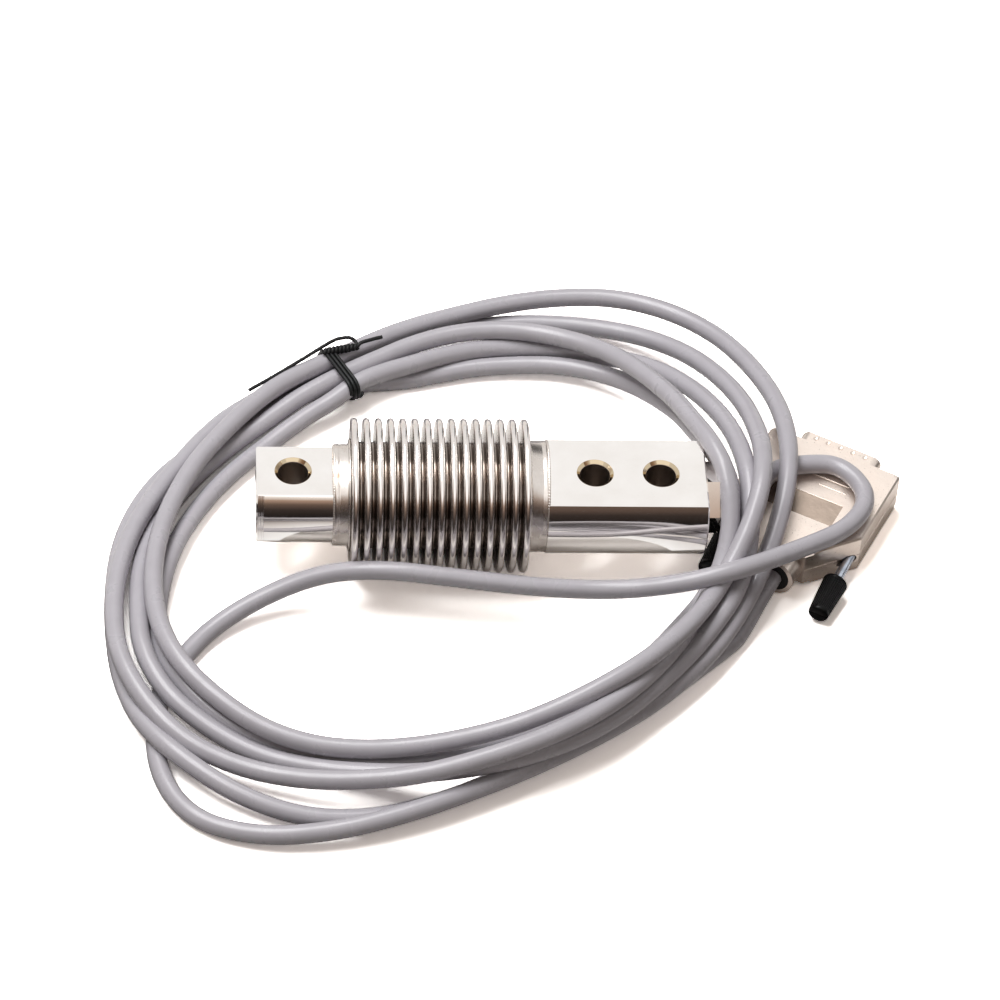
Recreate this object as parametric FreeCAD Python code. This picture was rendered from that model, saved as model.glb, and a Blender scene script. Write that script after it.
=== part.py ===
import FreeCAD, Part
import math
import os

# Bending beam load cell with a bellows seal, its coiled cable and its fifteen-way plug.
# Millimetres. X along the beam (load end at -X), Y to the back, Z up, floor at Z = 0.

V = FreeCAD.Vector

# beam
AXIS_Z = 21.0
END_X = 61.25
HOLE_R = 4.1
RIM_R = 5.0
LOAD_HOLE_X = -51.25
MOUNT_HOLES_X = (30.75, 48.75)
FLAT_HALF = 9.4
LOAD_END_R = 12.95
MOUNT_END_R = 15.5
LOAD_STEP_X = -40.2
MOUNT_STEP_X = 17.7
EDGE_BREAK = 0.4

# bellows
WALL = 0.25
CREST_R = 21.0
ROOT_R = 14.5
CRESTS = 15
PITCH = 3.31
FIRST_CREST_X = -34.7
LEFT_CUFF_R = 13.85
RIGHT_CUFF_R = 15.2

# measuring neck under the bellows
NECK_HALF_Y = 9.7
NECK_LEFT_X = -37.2
NECK_RIGHT_X = 13.9
WEB_HOLE_R = 6.0
WEB_HOLES_X = (-24.0, 1.0)
SLOT_HALF = 1.5
GAUGE_X = 8.0
GAUGE_Y = 5.0
GAUGE_T = 0.15
BOARD = (13.0, 1.0, 5.0)
BOARD_AT = (-18.0, -NECK_HALF_Y - 1.0, 23.5)
CHANNEL_R = 1.3
WIRE_R = 0.9

# cable gland
POCKET_R = 5.5
POCKET_X = 54.2
STUB_X = 58.25
SEAL_X = 60.2
HEX_FLATS = 17.0
HEX_CORNER = 72.5
COLLAR_X = 65.0
SEAL_R = 4.5
SEAL_END_X = 64.5
NUT_X = 66.2

# cable
CABLE_R = 2.625
CABLE_GAP = 0.1

# plug: u along the flange, m to the mating side
PLUG_X = 100.35
PLUG_Y = 24.74
PLUG_TURN = -29.0
HOOD_HALF_U = 19.57
HOOD_H = 12.6
HOOD_MID = HOOD_H / 2
SIDE_M = -25.7
SHOULDER_U = 8.7
SHOULDER_M = -39.0
NECK_M = -45.0
ENTRY_HALF_U = 8.0
RIM_T = 1.3
HOOD_WALL = 1.1
BEVEL = 0.45
CAVITY_HALF_U = 12.9
STEP_M = -17.4
RAMP_M = -25.0
STEP_DROP = 1.0
STEP_HALF_U = 10.3
BUSH_U = 2.0
BUSH_FRONT_M = -39.6
CABLE_END_M = -32.0

# front end of the plug
FLANGE_T = 1.0
FLANGE_H = 12.5
SHELL_OUT = 6.2
SHELL_W = 24.99
SHELL_H = 8.36
SHELL_T = 0.4
SHELL_SLANT = 10.0
SHELL_CORNER = 2.6
DIMPLE_PITCH = 3.76
DIMPLE_M = 4.6
DIMPLE_R = 1.1
DIMPLE_DEEP = 0.32
REAR_W = 25.6
REAR_H = 9.6
REAR_M = -5.5
PIN_R = 0.5
PIN_PITCH = 2.77
ROW_PITCH = 2.84
PIN_TIP_M = 5.6
CUP_R = 0.8
CUP_M = -7.0
CUP_END_M = -11.0

# thumbscrews
SCREW_U = 16.66
SCREW_R = 1.4
SCREW_HOLE_R = 1.6
SCREW_OUT = 1.5
SCREW_DROOP = 2.6
SCREW_TIP = 0.3
KNOB_AT = 37.0
KNOB_END = 50.0
KNOB_R = 3.5
KNOB_END_R = 2.95
KNOB_BAND = 1.6
CHANNEL_NARROW_R = 2.0
CHANNEL_MOUTH_R = 1.75
CHANNEL_STEP = 18.0
NOTCH_R = 1.3
NOTCH_IN = 1.3

# hood screws and cable clamp
POST_U = 10.2
POST_M = -28.0
POST_R = 2.4
HOOD_SCREW_R = 1.1
HOOD_SCREW_HEAD_R = 2.0
HOOD_SCREW_HEAD = (1.2, 2.7)
HOOD_SCREW_END = 9.6
CLAMP_M = (-36.0, -33.0)
CLAMP_HALF_U = 7.0
CLAMP_T = 0.7
CLAMP_SCREW_U = 5.0
CLAMP_SCREW_R = 0.8
CLAMP_HEAD_R = 1.5
CLAMP_HEAD_T = 0.55
CLAMP_POST_R = 1.9

# the coil's outer shape, about its middle: angle, inner and outer radius,
# then bottom and top at the inner edge and bottom and top at the outer edge
COIL_X = -11.0
COIL_Y = 5.0
COIL_CUT = 1.6
COIL = (
    (0, 71.0, 98.5, 33.2, 38.5, 19.4, 25.5),
    (14, 69.5, 103.0, 29.0, 35.0, 15.5, 21.5),
    (28, 70.5, 107.5, 14.0, 24.0, 8.0, 17.5),
    (42, 74.5, 108.0, 2.0, 13.0, 4.0, 14.5),
    (55, 73.0, 102.0, 0.0, 10.0, 2.0, 13.0),
    (68, 66.0, 91.5, 0.0, 8.0, 1.5, 13.0),
    (82, 58.5, 79.5, 0.0, 8.0, 1.0, 13.0),
    (98, 53.5, 71.5, 0.5, 7.5, 1.0, 13.0),
    (113, 51.5, 66.0, 1.0, 7.0, 1.0, 13.0),
    (119, 51.0, 66.0, 1.0, 7.0, 1.0, 13.0),
    (131, 51.5, 68.0, 0.0, 6.0, 0.0, 11.5),
    (145, 52.0, 72.0, 0.0, 5.5, 0.0, 9.6),
    (160, 56.0, 77.5, 0.0, 5.4, 0.0, 9.6),
    (176, 64.5, 84.0, 0.0, 5.4, 0.0, 9.6),
    (190, 71.0, 91.0, 0.0, 5.4, 0.0, 9.6),
    (203, 77.0, 100.0, 0.0, 5.4, 0.0, 9.6),
    (216, 84.5, 108.0, 0.0, 9.6, 0.0, 9.6),
    (231, 87.0, 120.5, 0.0, 9.6, 0.0, 6.5),
    (239, 86.8, 124.2, 0.0, 9.6, 0.0, 6.5),
    (247, 86.0, 122.5, 0.0, 9.6, 0.0, 6.5),
    (255, 84.2, 116.0, 0.0, 9.6, 0.0, 8.0),
    (262, 81.5, 109.0, 0.0, 9.6, 0.0, 9.6),
    (280, 74.5, 97.0, 0.0, 9.6, 0.0, 9.6),
    (298, 71.0, 93.5, 0.0, 9.6, 0.0, 9.6),
    (316, 72.0, 91.0, 0.0, 10.0, 0.0, 9.6),
    (330, 75.0, 91.0, 1.0, 13.0, 0.0, 11.0),
    (338, 74.8, 91.0, 4.0, 14.6, 1.5, 13.0),
    (345, 75.6, 91.0, 14.0, 22.0, 9.6, 14.6),
    (351, 75.0, 94.5, 31.5, 37.0, 17.5, 22.5),
)

# cable stretches outside the coil
LEAD_ROUTE = (
    (60.2, 0, 21), (74, 0, 21), (81, 14.5, 16.6), (91, 18.2, 15.4), (101.5, 18, 15.3),
    (108.5, 6, 15.3), (101.5, -6, 15.3), (86, -15, 16.3), (70, -23.5, 18.2), (54, -27.5, 16.5),
    (36, -27, 12.8), (14, -27, 14), (-8, -25.8, 16.3), (-28, -24.6, 17.6), (-44, -22.6, 12.5),
    (-60, -27, 6.8), (-74, -35.5, 3.3), (-86, -47, 2.7),
)
TAIL_BEFORE = ((60, -46, 2.7), (70, -34.5, 2.8))

# wire tie
TIE_FIRST = 8
TIE_T = 0.9
TIE_HALF_DEG = 1.7
TAIL_R = 0.6
KNOT = ((-41.0, 62.5, 13.9), (-32.0, 64.0, 14.2))
KNOT_R = 1.1
LONG_TAIL = ((-32.5, 64.0, 14.2), (-34.5, 67.3, 14.0), (-42, 66.8, 11.5), (-52.6, 62.6, 6),
             (-62.8, 58.2, 1.2))
SHORT_TAIL = ((-33.0, 63.8, 14.2), (-29, 65.5, 14.6), (-25.0, 67.4, 14.2))


def rod(start, end, radius):
    """Cylinder from one point to another."""
    line = V(*end) - V(*start)
    return Part.makeCylinder(radius, line.Length, V(*start), line)


def along_x(radius, x0, x1):
    """Cylinder on the beam's axis."""
    return rod((x0, 0, AXIS_Z), (x1, 0, AXIS_Z), radius)


def hexagon(x0, x1):
    """Six-sided prism on the beam's axis, for a spanner."""
    reach = HEX_FLATS / math.sqrt(3)
    corners = []
    for k in range(6):
        turn = math.radians(HEX_CORNER + 60 * k)
        corners.append(V(x0, -reach * math.cos(turn), AXIS_Z + reach * math.sin(turn)))
    return Part.Face(Part.makePolygon(corners + corners[:1])).extrude(V(x1 - x0, 0, 0))


def block(x0, x1, y0, y1, z0, z1):
    """Box between two corners."""
    return Part.makeBox(x1 - x0, y1 - y0, z1 - z0, V(x0, y0, z0))


def plate(points, z0, z1):
    """Prism of a plan outline."""
    corners = [V(x, y, z0) for x, y in points]
    return Part.Face(Part.makePolygon(corners + corners[:1])).extrude(V(0, 0, z1 - z0))


def tube(route, radius, name):
    """Round cord along straight runs that tangent arcs join."""
    points = [V(*p) for p in route]
    edges = []
    radii = []
    here = points[0]
    for before, corner, after in zip(points, points[1:], points[2:]):
        back = (before - corner).normalize()
        onward = (after - corner).normalize()
        half = (math.pi - back.getAngle(onward)) / 2
        reach = 0.45 * min(corner.distanceToPoint(before), corner.distanceToPoint(after))
        bend = reach / math.tan(half)
        radii.append(round(bend, 1))
        first = corner + back * reach
        last = corner + onward * reach
        middle = (back + onward).normalize()
        top = corner + middle * (bend / math.cos(half) - bend)
        edges.append(Part.LineSegment(here, first).toShape())
        edges.append(Part.Arc(first, top, last).toShape())
        here = last
    edges.append(Part.LineSegment(here, points[-1]).toShape())
    path = Part.Wire(edges)
    ring = Part.Wire(Part.makeCircle(radius, points[0], points[1] - points[0]))
    solid = path.makePipeShell([ring], True, False)
    share = solid.Volume / (math.pi * radius * radius * path.Length)
    print(name, "length", round(path.Length, 1), "volume share", round(share, 4), "radii", radii)
    return solid


def dee(width, height, m0, m1):
    """D-shaped prism of the plug's mouth, long side up, along m."""
    lean = math.tan(math.radians(SHELL_SLANT)) * height / 2
    half = width / 2
    z0 = HOOD_MID - height / 2
    z1 = HOOD_MID + height / 2
    corners = [V(-half + 2 * lean, m0, z0), V(half - 2 * lean, m0, z0), V(half, m0, z1), V(-half, m0, z1)]
    solid = Part.Face(Part.makePolygon(corners + corners[:1])).extrude(V(0, m1 - m0, 0))
    long_edges = [e for e in solid.Edges if abs(e.tangentAt(e.FirstParameter).y) > 0.99]
    return solid.makeFillet(SHELL_CORNER * height / SHELL_H, long_edges)


def stadium(half_u, height, m0, m1):
    """Prism along m with round sides."""
    r = height / 2
    reach = half_u - r
    body = Part.makeBox(2 * reach, m1 - m0, height, V(-reach, m0, HOOD_MID - r))
    for u in (-reach, reach):
        body = body.fuse(rod((u, m0, HOOD_MID), (u, m1, HOOD_MID), r))
    return body.removeSplitter()


def in_plug(shape):
    """Put a shape drawn in the plug's own axes in its place."""
    done = shape.copy()
    plug_place = FreeCAD.Placement(V(PLUG_X, PLUG_Y, 0), FreeCAD.Rotation(V(0, 0, 1), PLUG_TURN))
    done.Placement = plug_place.multiply(done.Placement)
    return done


def plug_point(u, m, z):
    """World point of a place in the plug's axes."""
    turn = math.radians(PLUG_TURN)
    return (PLUG_X + u * math.cos(turn) - m * math.sin(turn),
            PLUG_Y + u * math.sin(turn) + m * math.cos(turn), z)


def screw_point(side, reach):
    """Point on a thumbscrew's axis, by its distance behind the flange's front edge."""
    return (side * SCREW_U + reach * math.tan(math.radians(SCREW_OUT)), -reach,
            HOOD_MID - reach * math.tan(math.radians(SCREW_DROOP)))


def wire_point(x):
    """Middle of the wire channel, which slants from the bellows to the gland."""
    return (x, -11.53 + 0.1486 * (x - NECK_RIGHT_X), AXIS_Z)


def build_beam():
    load_end = along_x(LOAD_END_R, -END_X, LOAD_STEP_X)
    mount_end = along_x(MOUNT_END_R, MOUNT_STEP_X, END_X)
    slab = block(-END_X, END_X, -30, 30, AXIS_Z - FLAT_HALF, AXIS_Z + FLAT_HALF)
    body = load_end.fuse(mount_end).common(slab)
    body = body.fuse(along_x(LEFT_CUFF_R - WALL, LOAD_STEP_X, NECK_LEFT_X))
    body = body.fuse(along_x(RIGHT_CUFF_R - WALL, NECK_RIGHT_X, MOUNT_STEP_X))
    body = body.fuse(block(NECK_LEFT_X, NECK_RIGHT_X, -NECK_HALF_Y, NECK_HALF_Y,
                           AXIS_Z - FLAT_HALF, AXIS_Z + FLAT_HALF))
    for x in (LOAD_HOLE_X,) + MOUNT_HOLES_X:
        low = AXIS_Z - FLAT_HALF
        high = AXIS_Z + FLAT_HALF
        body = body.cut(Part.makeCylinder(HOLE_R, 2 * FLAT_HALF, V(x, 0, low)))
        deep = RIM_R - HOLE_R
        body = body.cut(Part.makeCone(HOLE_R, RIM_R, deep, V(x, 0, high - deep)))
        body = body.cut(Part.makeCone(RIM_R, HOLE_R, deep, V(x, 0, low)))
    for x in WEB_HOLES_X:
        drill = Part.makeCylinder(WEB_HOLE_R, 2 * NECK_HALF_Y, V(x, -NECK_HALF_Y, AXIS_Z), V(0, 1, 0))
        body = body.cut(drill)
    body = body.cut(block(WEB_HOLES_X[0], WEB_HOLES_X[1], -NECK_HALF_Y, NECK_HALF_Y,
                          AXIS_Z - SLOT_HALF, AXIS_Z + SLOT_HALF))
    rims = [e for e in body.Edges if e.BoundBox.XLength < 1e-6 and abs(abs(e.BoundBox.XMin) - END_X) < 1e-6]
    body = body.makeChamfer(EDGE_BREAK, rims)
    body = body.cut(along_x(POCKET_R, POCKET_X, END_X))
    return body.cut(rod(wire_point(NECK_RIGHT_X - 1), wire_point(POCKET_X + 3.5), CHANNEL_R))


def bellows_side(offset):
    """Points and arcs of one face of the bellows wall, offset from the middle of the wall."""
    bend = PITCH / 4
    edges = []

    def line(a, b):
        edges.append(Part.LineSegment(V(a[0], 0, a[1]), V(b[0], 0, b[1])).toShape())

    def quarter(cx, cr, r, a0, a1):
        pts = [V(cx + r * math.cos(math.radians(a)), 0, cr + r * math.sin(math.radians(a)))
               for a in (a0, (a0 + a1) / 2, a1)]
        edges.append(Part.Arc(*pts).toShape())

    crest_c = CREST_R - WALL / 2 - bend
    root_c = ROOT_R - WALL / 2 + bend
    left_r = LEFT_CUFF_R - WALL / 2
    right_r = RIGHT_CUFF_R - WALL / 2
    first = FIRST_CREST_X
    out = bend + offset
    inn = bend - offset
    line((LOAD_STEP_X, left_r + offset), (first - 2 * bend, left_r + offset))
    quarter(first - 2 * bend, left_r + bend, inn, -90, 0)
    line((first - 2 * bend + inn, left_r + bend), (first - out, crest_c))
    for i in range(CRESTS):
        x = first + i * PITCH
        quarter(x, crest_c, out, 180, 0)
        if i < CRESTS - 1:
            line((x + out, crest_c), (x + out, root_c))
            quarter(x + 2 * bend, root_c, inn, -180, 0)
            line((x + PITCH - out, root_c), (x + PITCH - out, crest_c))
    x = first + (CRESTS - 1) * PITCH
    line((x + out, crest_c), (x + out, right_r + bend))
    quarter(x + 2 * bend, right_r + bend, inn, 180, 270)
    line((x + 2 * bend, right_r + offset), (MOUNT_STEP_X, right_r + offset))
    return edges


def build_bellows():
    outer = bellows_side(WALL / 2)
    inner = bellows_side(-WALL / 2)
    ends = []
    for o, i in ((outer[0].Vertexes[0], inner[0].Vertexes[0]),
                 (outer[-1].Vertexes[-1], inner[-1].Vertexes[-1])):
        ends.append(Part.LineSegment(o.Point, i.Point).toShape())
    wire = Part.Wire(Part.__sortEdges__(outer + inner + ends))
    wire.translate(V(0, 0, AXIS_Z))
    return Part.Face(wire).revolve(V(0, 0, AXIS_Z), V(1, 0, 0), 360)


def build_gauge(x, top):
    z = AXIS_Z + FLAT_HALF if top else AXIS_Z - FLAT_HALF - GAUGE_T
    return block(x - GAUGE_X / 2, x + GAUGE_X / 2, -GAUGE_Y / 2, GAUGE_Y / 2, z, z + GAUGE_T)


def build_gland():
    body = along_x(POCKET_R, STUB_X, END_X).fuse(hexagon(END_X, COLLAR_X)).removeSplitter()
    rim = [e for e in body.Edges if abs(e.BoundBox.XMin - COLLAR_X) < 1e-6 and e.BoundBox.XLength < 1e-6]
    body = body.makeChamfer(0.3, rim)
    body = body.cut(along_x(CABLE_R + CABLE_GAP, STUB_X, SEAL_X)).cut(along_x(SEAL_R, SEAL_X, COLLAR_X))
    seal = along_x(SEAL_R, SEAL_X, SEAL_END_X).cut(along_x(CABLE_R, SEAL_X, SEAL_END_X))
    nut = along_x(SEAL_R, SEAL_END_X, COLLAR_X).fuse(hexagon(COLLAR_X, NUT_X)).removeSplitter()
    rim = [e for e in nut.Edges if abs(e.BoundBox.XMin - NUT_X) < 1e-6 and e.BoundBox.XLength < 1e-6]
    nut = nut.makeChamfer(0.5, rim).cut(along_x(CABLE_R + CABLE_GAP, SEAL_END_X, NUT_X))
    return body, seal, nut


def build_hood():
    """Both hood halves, with the cavity, the screw channels and the posts."""
    plan = [(-HOOD_HALF_U, 0), (-HOOD_HALF_U, SIDE_M), (-SHOULDER_U, SHOULDER_M),
            (SHOULDER_U, SHOULDER_M), (HOOD_HALF_U, SIDE_M), (HOOD_HALF_U, 0)]
    shell = plate(plan, 0, HOOD_H)
    brim = [e for e in shell.Edges if e.BoundBox.ZLength < 1e-6 and e.BoundBox.YMin < -1]
    shell = shell.makeChamfer(BEVEL, brim)
    for z, away in ((HOOD_H, 1), (0, -1)):
        profile = [V(-STEP_HALF_U, STEP_M, z), V(-STEP_HALF_U, RAMP_M, z - away * STEP_DROP),
                   V(-STEP_HALF_U, SHOULDER_M - 1, z - away * STEP_DROP),
                   V(-STEP_HALF_U, SHOULDER_M - 1, z + away),
                   V(-STEP_HALF_U, STEP_M, z + away)]
        wedge = Part.Face(Part.makePolygon(profile + profile[:1])).extrude(V(2 * STEP_HALF_U, 0, 0))
        shell = shell.cut(wedge)
    shell = shell.fuse(stadium(ENTRY_HALF_U, HOOD_H, NECK_M, SHOULDER_M + 1.5))
    floor = HOOD_WALL
    deep = HOOD_WALL + STEP_DROP
    front = plate([(-CAVITY_HALF_U, 0), (-CAVITY_HALF_U, STEP_M),
                   (CAVITY_HALF_U, STEP_M), (CAVITY_HALF_U, 0)],
                  floor, HOOD_H - floor)
    rear = plate([(-CAVITY_HALF_U, STEP_M), (-CAVITY_HALF_U, SIDE_M - 3),
                  (-SHOULDER_U + 0.4, SHOULDER_M + 1.5),
                  (SHOULDER_U - 0.4, SHOULDER_M + 1.5), (CAVITY_HALF_U, SIDE_M - 3), (CAVITY_HALF_U, STEP_M)],
                 deep, HOOD_H - deep)
    entry = stadium(ENTRY_HALF_U - RIM_T, HOOD_H - 2 * RIM_T, NECK_M, BUSH_FRONT_M)
    way = rod((BUSH_U, BUSH_FRONT_M, HOOD_MID), (BUSH_U, SHOULDER_M + 2, HOOD_MID), CABLE_R + CABLE_GAP)
    shell = shell.cut(front).cut(rear).cut(entry).cut(way)
    posts = []
    for side in (-1, 1):
        shell = shell.cut(rod(screw_point(side, -1), screw_point(side, CHANNEL_STEP + 1), CHANNEL_NARROW_R))
        mouth = rod(screw_point(side, CHANNEL_STEP), screw_point(side, KNOB_AT - 3), CHANNEL_MOUTH_R)
        notch = rod(screw_point(side, CHANNEL_STEP + 6), screw_point(side, KNOB_AT - 1), NOTCH_R)
        notch.translate(V(-side * NOTCH_IN, 0, 0))
        shell = shell.cut(mouth).cut(notch)
        posts.append(Part.makeCylinder(POST_R, HOOD_H - 2 * deep + 0.2, V(side * POST_U, POST_M, deep - 0.1)))
    for post in posts:
        shell = shell.fuse(post)
    upper = shell.common(block(-40, 40, -60, 20, HOOD_MID, HOOD_H))
    lower = shell.common(block(-40, 40, -60, 20, 0, HOOD_MID))
    for side in (-1, 1):
        lower = lower.fuse(Part.makeCylinder(CLAMP_POST_R, HOOD_MID - deep + 0.1,
                                             V(BUSH_U + side * CLAMP_SCREW_U, sum(CLAMP_M) / 2, deep - 0.1)))
    way = rod((BUSH_U, CABLE_END_M + 1, HOOD_MID), (BUSH_U, SHOULDER_M, HOOD_MID), CABLE_R + CABLE_GAP)
    lower = lower.cut(way)
    return upper, lower


def build_hood_screws():
    screws = []
    for side in (-1, 1):
        low, high = HOOD_SCREW_HEAD
        head = Part.makeCylinder(HOOD_SCREW_HEAD_R, high - low, V(side * POST_U, POST_M, low))
        cross = block(side * POST_U - 3, side * POST_U + 3, POST_M - 0.3, POST_M + 0.3, low, low + 0.7)
        head = head.cut(cross)
        shank = Part.makeCylinder(HOOD_SCREW_R, HOOD_SCREW_END - high, V(side * POST_U, POST_M, high))
        screws.append(head.fuse(shank).removeSplitter())
    return screws


def build_clamp():
    """Strap over the cable's jacket and its two screws."""
    low = HOOD_MID + CABLE_R
    strap = block(BUSH_U - CLAMP_HALF_U, BUSH_U + CLAMP_HALF_U, CLAMP_M[0], CLAMP_M[1], low, low + CLAMP_T)
    screws = []
    for side in (-1, 1):
        u = BUSH_U + side * CLAMP_SCREW_U
        m = sum(CLAMP_M) / 2
        shank = Part.makeCylinder(CLAMP_SCREW_R, low + CLAMP_T - 3.2, V(u, m, 3.2))
        head = Part.makeCylinder(CLAMP_HEAD_R, CLAMP_HEAD_T, V(u, m, low + CLAMP_T))
        screws.append(shank.fuse(head).removeSplitter())
    return strap, screws


def build_front_shell():
    """Flange with the D-shaped mouth, its dimples and its two screw holes."""
    flange = block(-HOOD_HALF_U, HOOD_HALF_U, 0, FLANGE_T, HOOD_MID - FLANGE_H / 2, HOOD_MID + FLANGE_H / 2)
    corners = [e for e in flange.Edges if abs(e.tangentAt(e.FirstParameter).y) > 0.99]
    flange = flange.makeFillet(1.6, corners)
    shell = flange.fuse(dee(SHELL_W, SHELL_H, 0, SHELL_OUT)).removeSplitter()
    shell = shell.cut(dee(SHELL_W - 2 * SHELL_T, SHELL_H - 2 * SHELL_T, -1, SHELL_OUT + 1))
    for i in range(-2, 3):
        for side in (-1, 1):
            z = HOOD_MID + side * (SHELL_H / 2 - DIMPLE_DEEP + DIMPLE_R)
            at = V(i * DIMPLE_PITCH, DIMPLE_M, z)
            bump = Part.makeSphere(DIMPLE_R + SHELL_T, at)
            inner_z = HOOD_MID + side * (SHELL_H / 2 - SHELL_T)
            lid = block(-20, 20, 0, 8, min(inner_z, HOOD_MID), max(inner_z, HOOD_MID))
            shell = shell.fuse(bump.common(lid)).cut(Part.makeSphere(DIMPLE_R, at))
    for side in (-1, 1):
        ear = rod((side * SCREW_U, -1, HOOD_MID), (side * SCREW_U, FLANGE_T + 1, HOOD_MID), SCREW_HOLE_R)
        shell = shell.cut(ear)
    return shell


def pin_places():
    """Middle of each contact: eight in the upper row, seven in the lower."""
    for count, z in ((8, HOOD_MID + ROW_PITCH / 2), (7, HOOD_MID - ROW_PITCH / 2)):
        for i in range(count):
            yield (i - (count - 1) / 2) * PIN_PITCH, z


def build_contacts():
    pins = []
    for u, z in pin_places():
        tip = Part.makeSphere(PIN_R, V(u, PIN_TIP_M - PIN_R, z))
        pin = rod((u, CUP_M, z), (u, PIN_TIP_M - PIN_R, z), PIN_R).fuse(tip)
        cup = rod((u, CUP_END_M, z), (u, CUP_M, z), CUP_R)
        hollow = rod((u, CUP_END_M, z), (u, CUP_END_M + 2.6, z), CUP_R - 0.25)
        pins.append(pin.fuse(cup).cut(hollow).removeSplitter())
    return pins


def build_insulator(pins):
    rear = dee(REAR_W - 2 * SHELL_T, REAR_H - 2 * SHELL_T, CUP_M, 0)
    face = dee(SHELL_W - 2 * SHELL_T, SHELL_H - 2 * SHELL_T, 0, FLANGE_T)
    body = rear.fuse(face)
    for pin in pins:
        body = body.cut(pin)
    return body


def build_plug_wires():
    """Six cores from the end of the cable's jacket to the solder cups."""
    places = list(pin_places())
    wires = []
    for i, pick in enumerate((1, 3, 5, 9, 11, 13)):
        u, z = places[pick]
        turn = math.radians(60 * i)
        start = (BUSH_U + 1.5 * math.cos(turn), CABLE_END_M, HOOD_MID + 1.5 * math.sin(turn))
        wires.append(rod(start, (u, CUP_END_M, z), 0.4))
    return wires


def build_thumbscrew(side):
    """Shaft and knob of one thumbscrew."""
    tip = V(*screw_point(side, -SCREW_TIP))
    axis = (V(*screw_point(side, KNOB_END)) - tip).normalize()
    shaft_len = (V(*screw_point(side, KNOB_AT)) - tip).Length
    knob_len = (V(*screw_point(side, KNOB_END)) - tip).Length - shaft_len
    core = Part.makeCylinder(SCREW_R, shaft_len + knob_len - 3, tip, axis)
    at = tip + axis * shaft_len
    knob = Part.makeCone(KNOB_R, KNOB_END_R, knob_len - KNOB_BAND, at, axis)
    knob = knob.fuse(Part.makeCylinder(KNOB_END_R, KNOB_BAND, at + axis * (knob_len - KNOB_BAND), axis))
    slot = Part.makeBox(0.9, 2 * KNOB_R, 1.2, V(-0.45, -KNOB_R, -0.6))
    turned = FreeCAD.Placement(at + axis * knob_len, FreeCAD.Rotation(V(0, 0, 1), axis))
    slot.Placement = turned.multiply(slot.Placement)
    return core, knob.cut(core).cut(slot)


def coil_section(row, grow=0.0):
    """Eight-cornered section of the coil at one place round it."""
    angle, r0, r1, low0, high0, low1, high1 = row
    turn = math.radians(angle)
    c = COIL_CUT + 0.4 * grow
    r0 -= grow
    r1 += grow
    low0 -= grow
    low1 -= grow
    high0 += grow
    high1 += grow
    ring = ((r0 + c, low0), (r1 - c, low1), (r1, low1 + c), (r1, high1 - c),
            (r1 - c, high1), (r0 + c, high0), (r0, high0 - c), (r0, low0 + c))
    points = [V(COIL_X + r * math.cos(turn), COIL_Y + r * math.sin(turn), z) for r, z in ring]
    return Part.makePolygon(points + points[:1])


def between(row_a, row_b, angle):
    """Section values at an angle between two places."""
    share = (angle - row_a[0]) / (row_b[0] - row_a[0])
    return tuple(a + (b - a) * share for a, b in zip(row_a, row_b))


def build_coil():
    half = len(COIL) // 2
    first = Part.makeLoft([coil_section(row) for row in COIL[:half + 1]], True, True)
    second = Part.makeLoft([coil_section(row) for row in COIL[half:] + COIL[:1]], True, True)
    return first.fuse(second).removeSplitter()


def build_tie(coil):
    row_a, row_b = COIL[TIE_FIRST], COIL[TIE_FIRST + 1]
    middle = (row_a[0] + row_b[0]) / 2
    rings = [coil_section(between(row_a, row_b, middle + side * TIE_HALF_DEG), TIE_T) for side in (-1, 1)]
    band = Part.makeLoft(rings, True, True)
    tie = band.fuse(rod(KNOT[0], KNOT[1], KNOT_R))
    tie = tie.fuse(tube(LONG_TAIL, TAIL_R, "tie long tail")).fuse(tube(SHORT_TAIL, TAIL_R, "tie short tail"))
    return tie.cut(coil).removeSplitter()


def build_core_wires():
    route = ((-5.0, -10.7, 26.0), (3.0, -11.9, 23.0), wire_point(10.0), wire_point(55.2),
             (57.0, -2.4, AXIS_Z), (58.8, 0.0, AXIS_Z), (60.2, 0.0, AXIS_Z))
    return tube(route, WIRE_R, "core wires")


def save(name, shape):
    """Write one piece, or a group of like pieces, and say how it came out."""
    solid = Part.makeCompound(shape) if isinstance(shape, list) else shape
    if not isinstance(shape, list) and len(solid.Solids) == 1:
        solid = solid.Solids[0]
    print(name, "solids", len(solid.Solids), "valid", solid.isValid(), "volume", round(solid.Volume, 2))
    solid.exportStep(os.path.join("parts", name + ".step"))


os.makedirs("parts", exist_ok=True)

save("beam", build_beam())
save("bellows", build_bellows())
for number, (x, top) in enumerate(((WEB_HOLES_X[0], True), (WEB_HOLES_X[1], True),
                                   (WEB_HOLES_X[0], False), (WEB_HOLES_X[1], False)), 1):
    save("strain_gauge_%d" % number, build_gauge(x, top))
board = Part.makeBox(*BOARD, V(*BOARD_AT))
save("terminal_board", board)
save("core_wires", build_core_wires().cut(board))

gland_body, gland_seal, gland_nut = build_gland()
save("gland_body", gland_body)
save("gland_seal", gland_seal)
save("gland_nut", gland_nut)

hood_upper, hood_lower = build_hood()
hood_screws = build_hood_screws()
clamp_strap, clamp_screws = build_clamp()
for screw in hood_screws:
    hood_upper = hood_upper.cut(screw)
    hood_lower = hood_lower.cut(screw)
for side in (-1, 1):
    hood_lower = hood_lower.cut(Part.makeCylinder(HOOD_SCREW_HEAD_R + 0.2, HOOD_SCREW_HEAD[1],
                                                  V(side * POST_U, POST_M, 0)))
for screw in clamp_screws:
    clamp_strap = clamp_strap.cut(screw)
    hood_lower = hood_lower.cut(screw)
save("hood_upper", in_plug(hood_upper))
save("hood_lower", in_plug(hood_lower))
save("hood_screws", [in_plug(screw) for screw in hood_screws])
save("clamp_strap", in_plug(clamp_strap))
save("clamp_screws", [in_plug(screw) for screw in clamp_screws])

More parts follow.
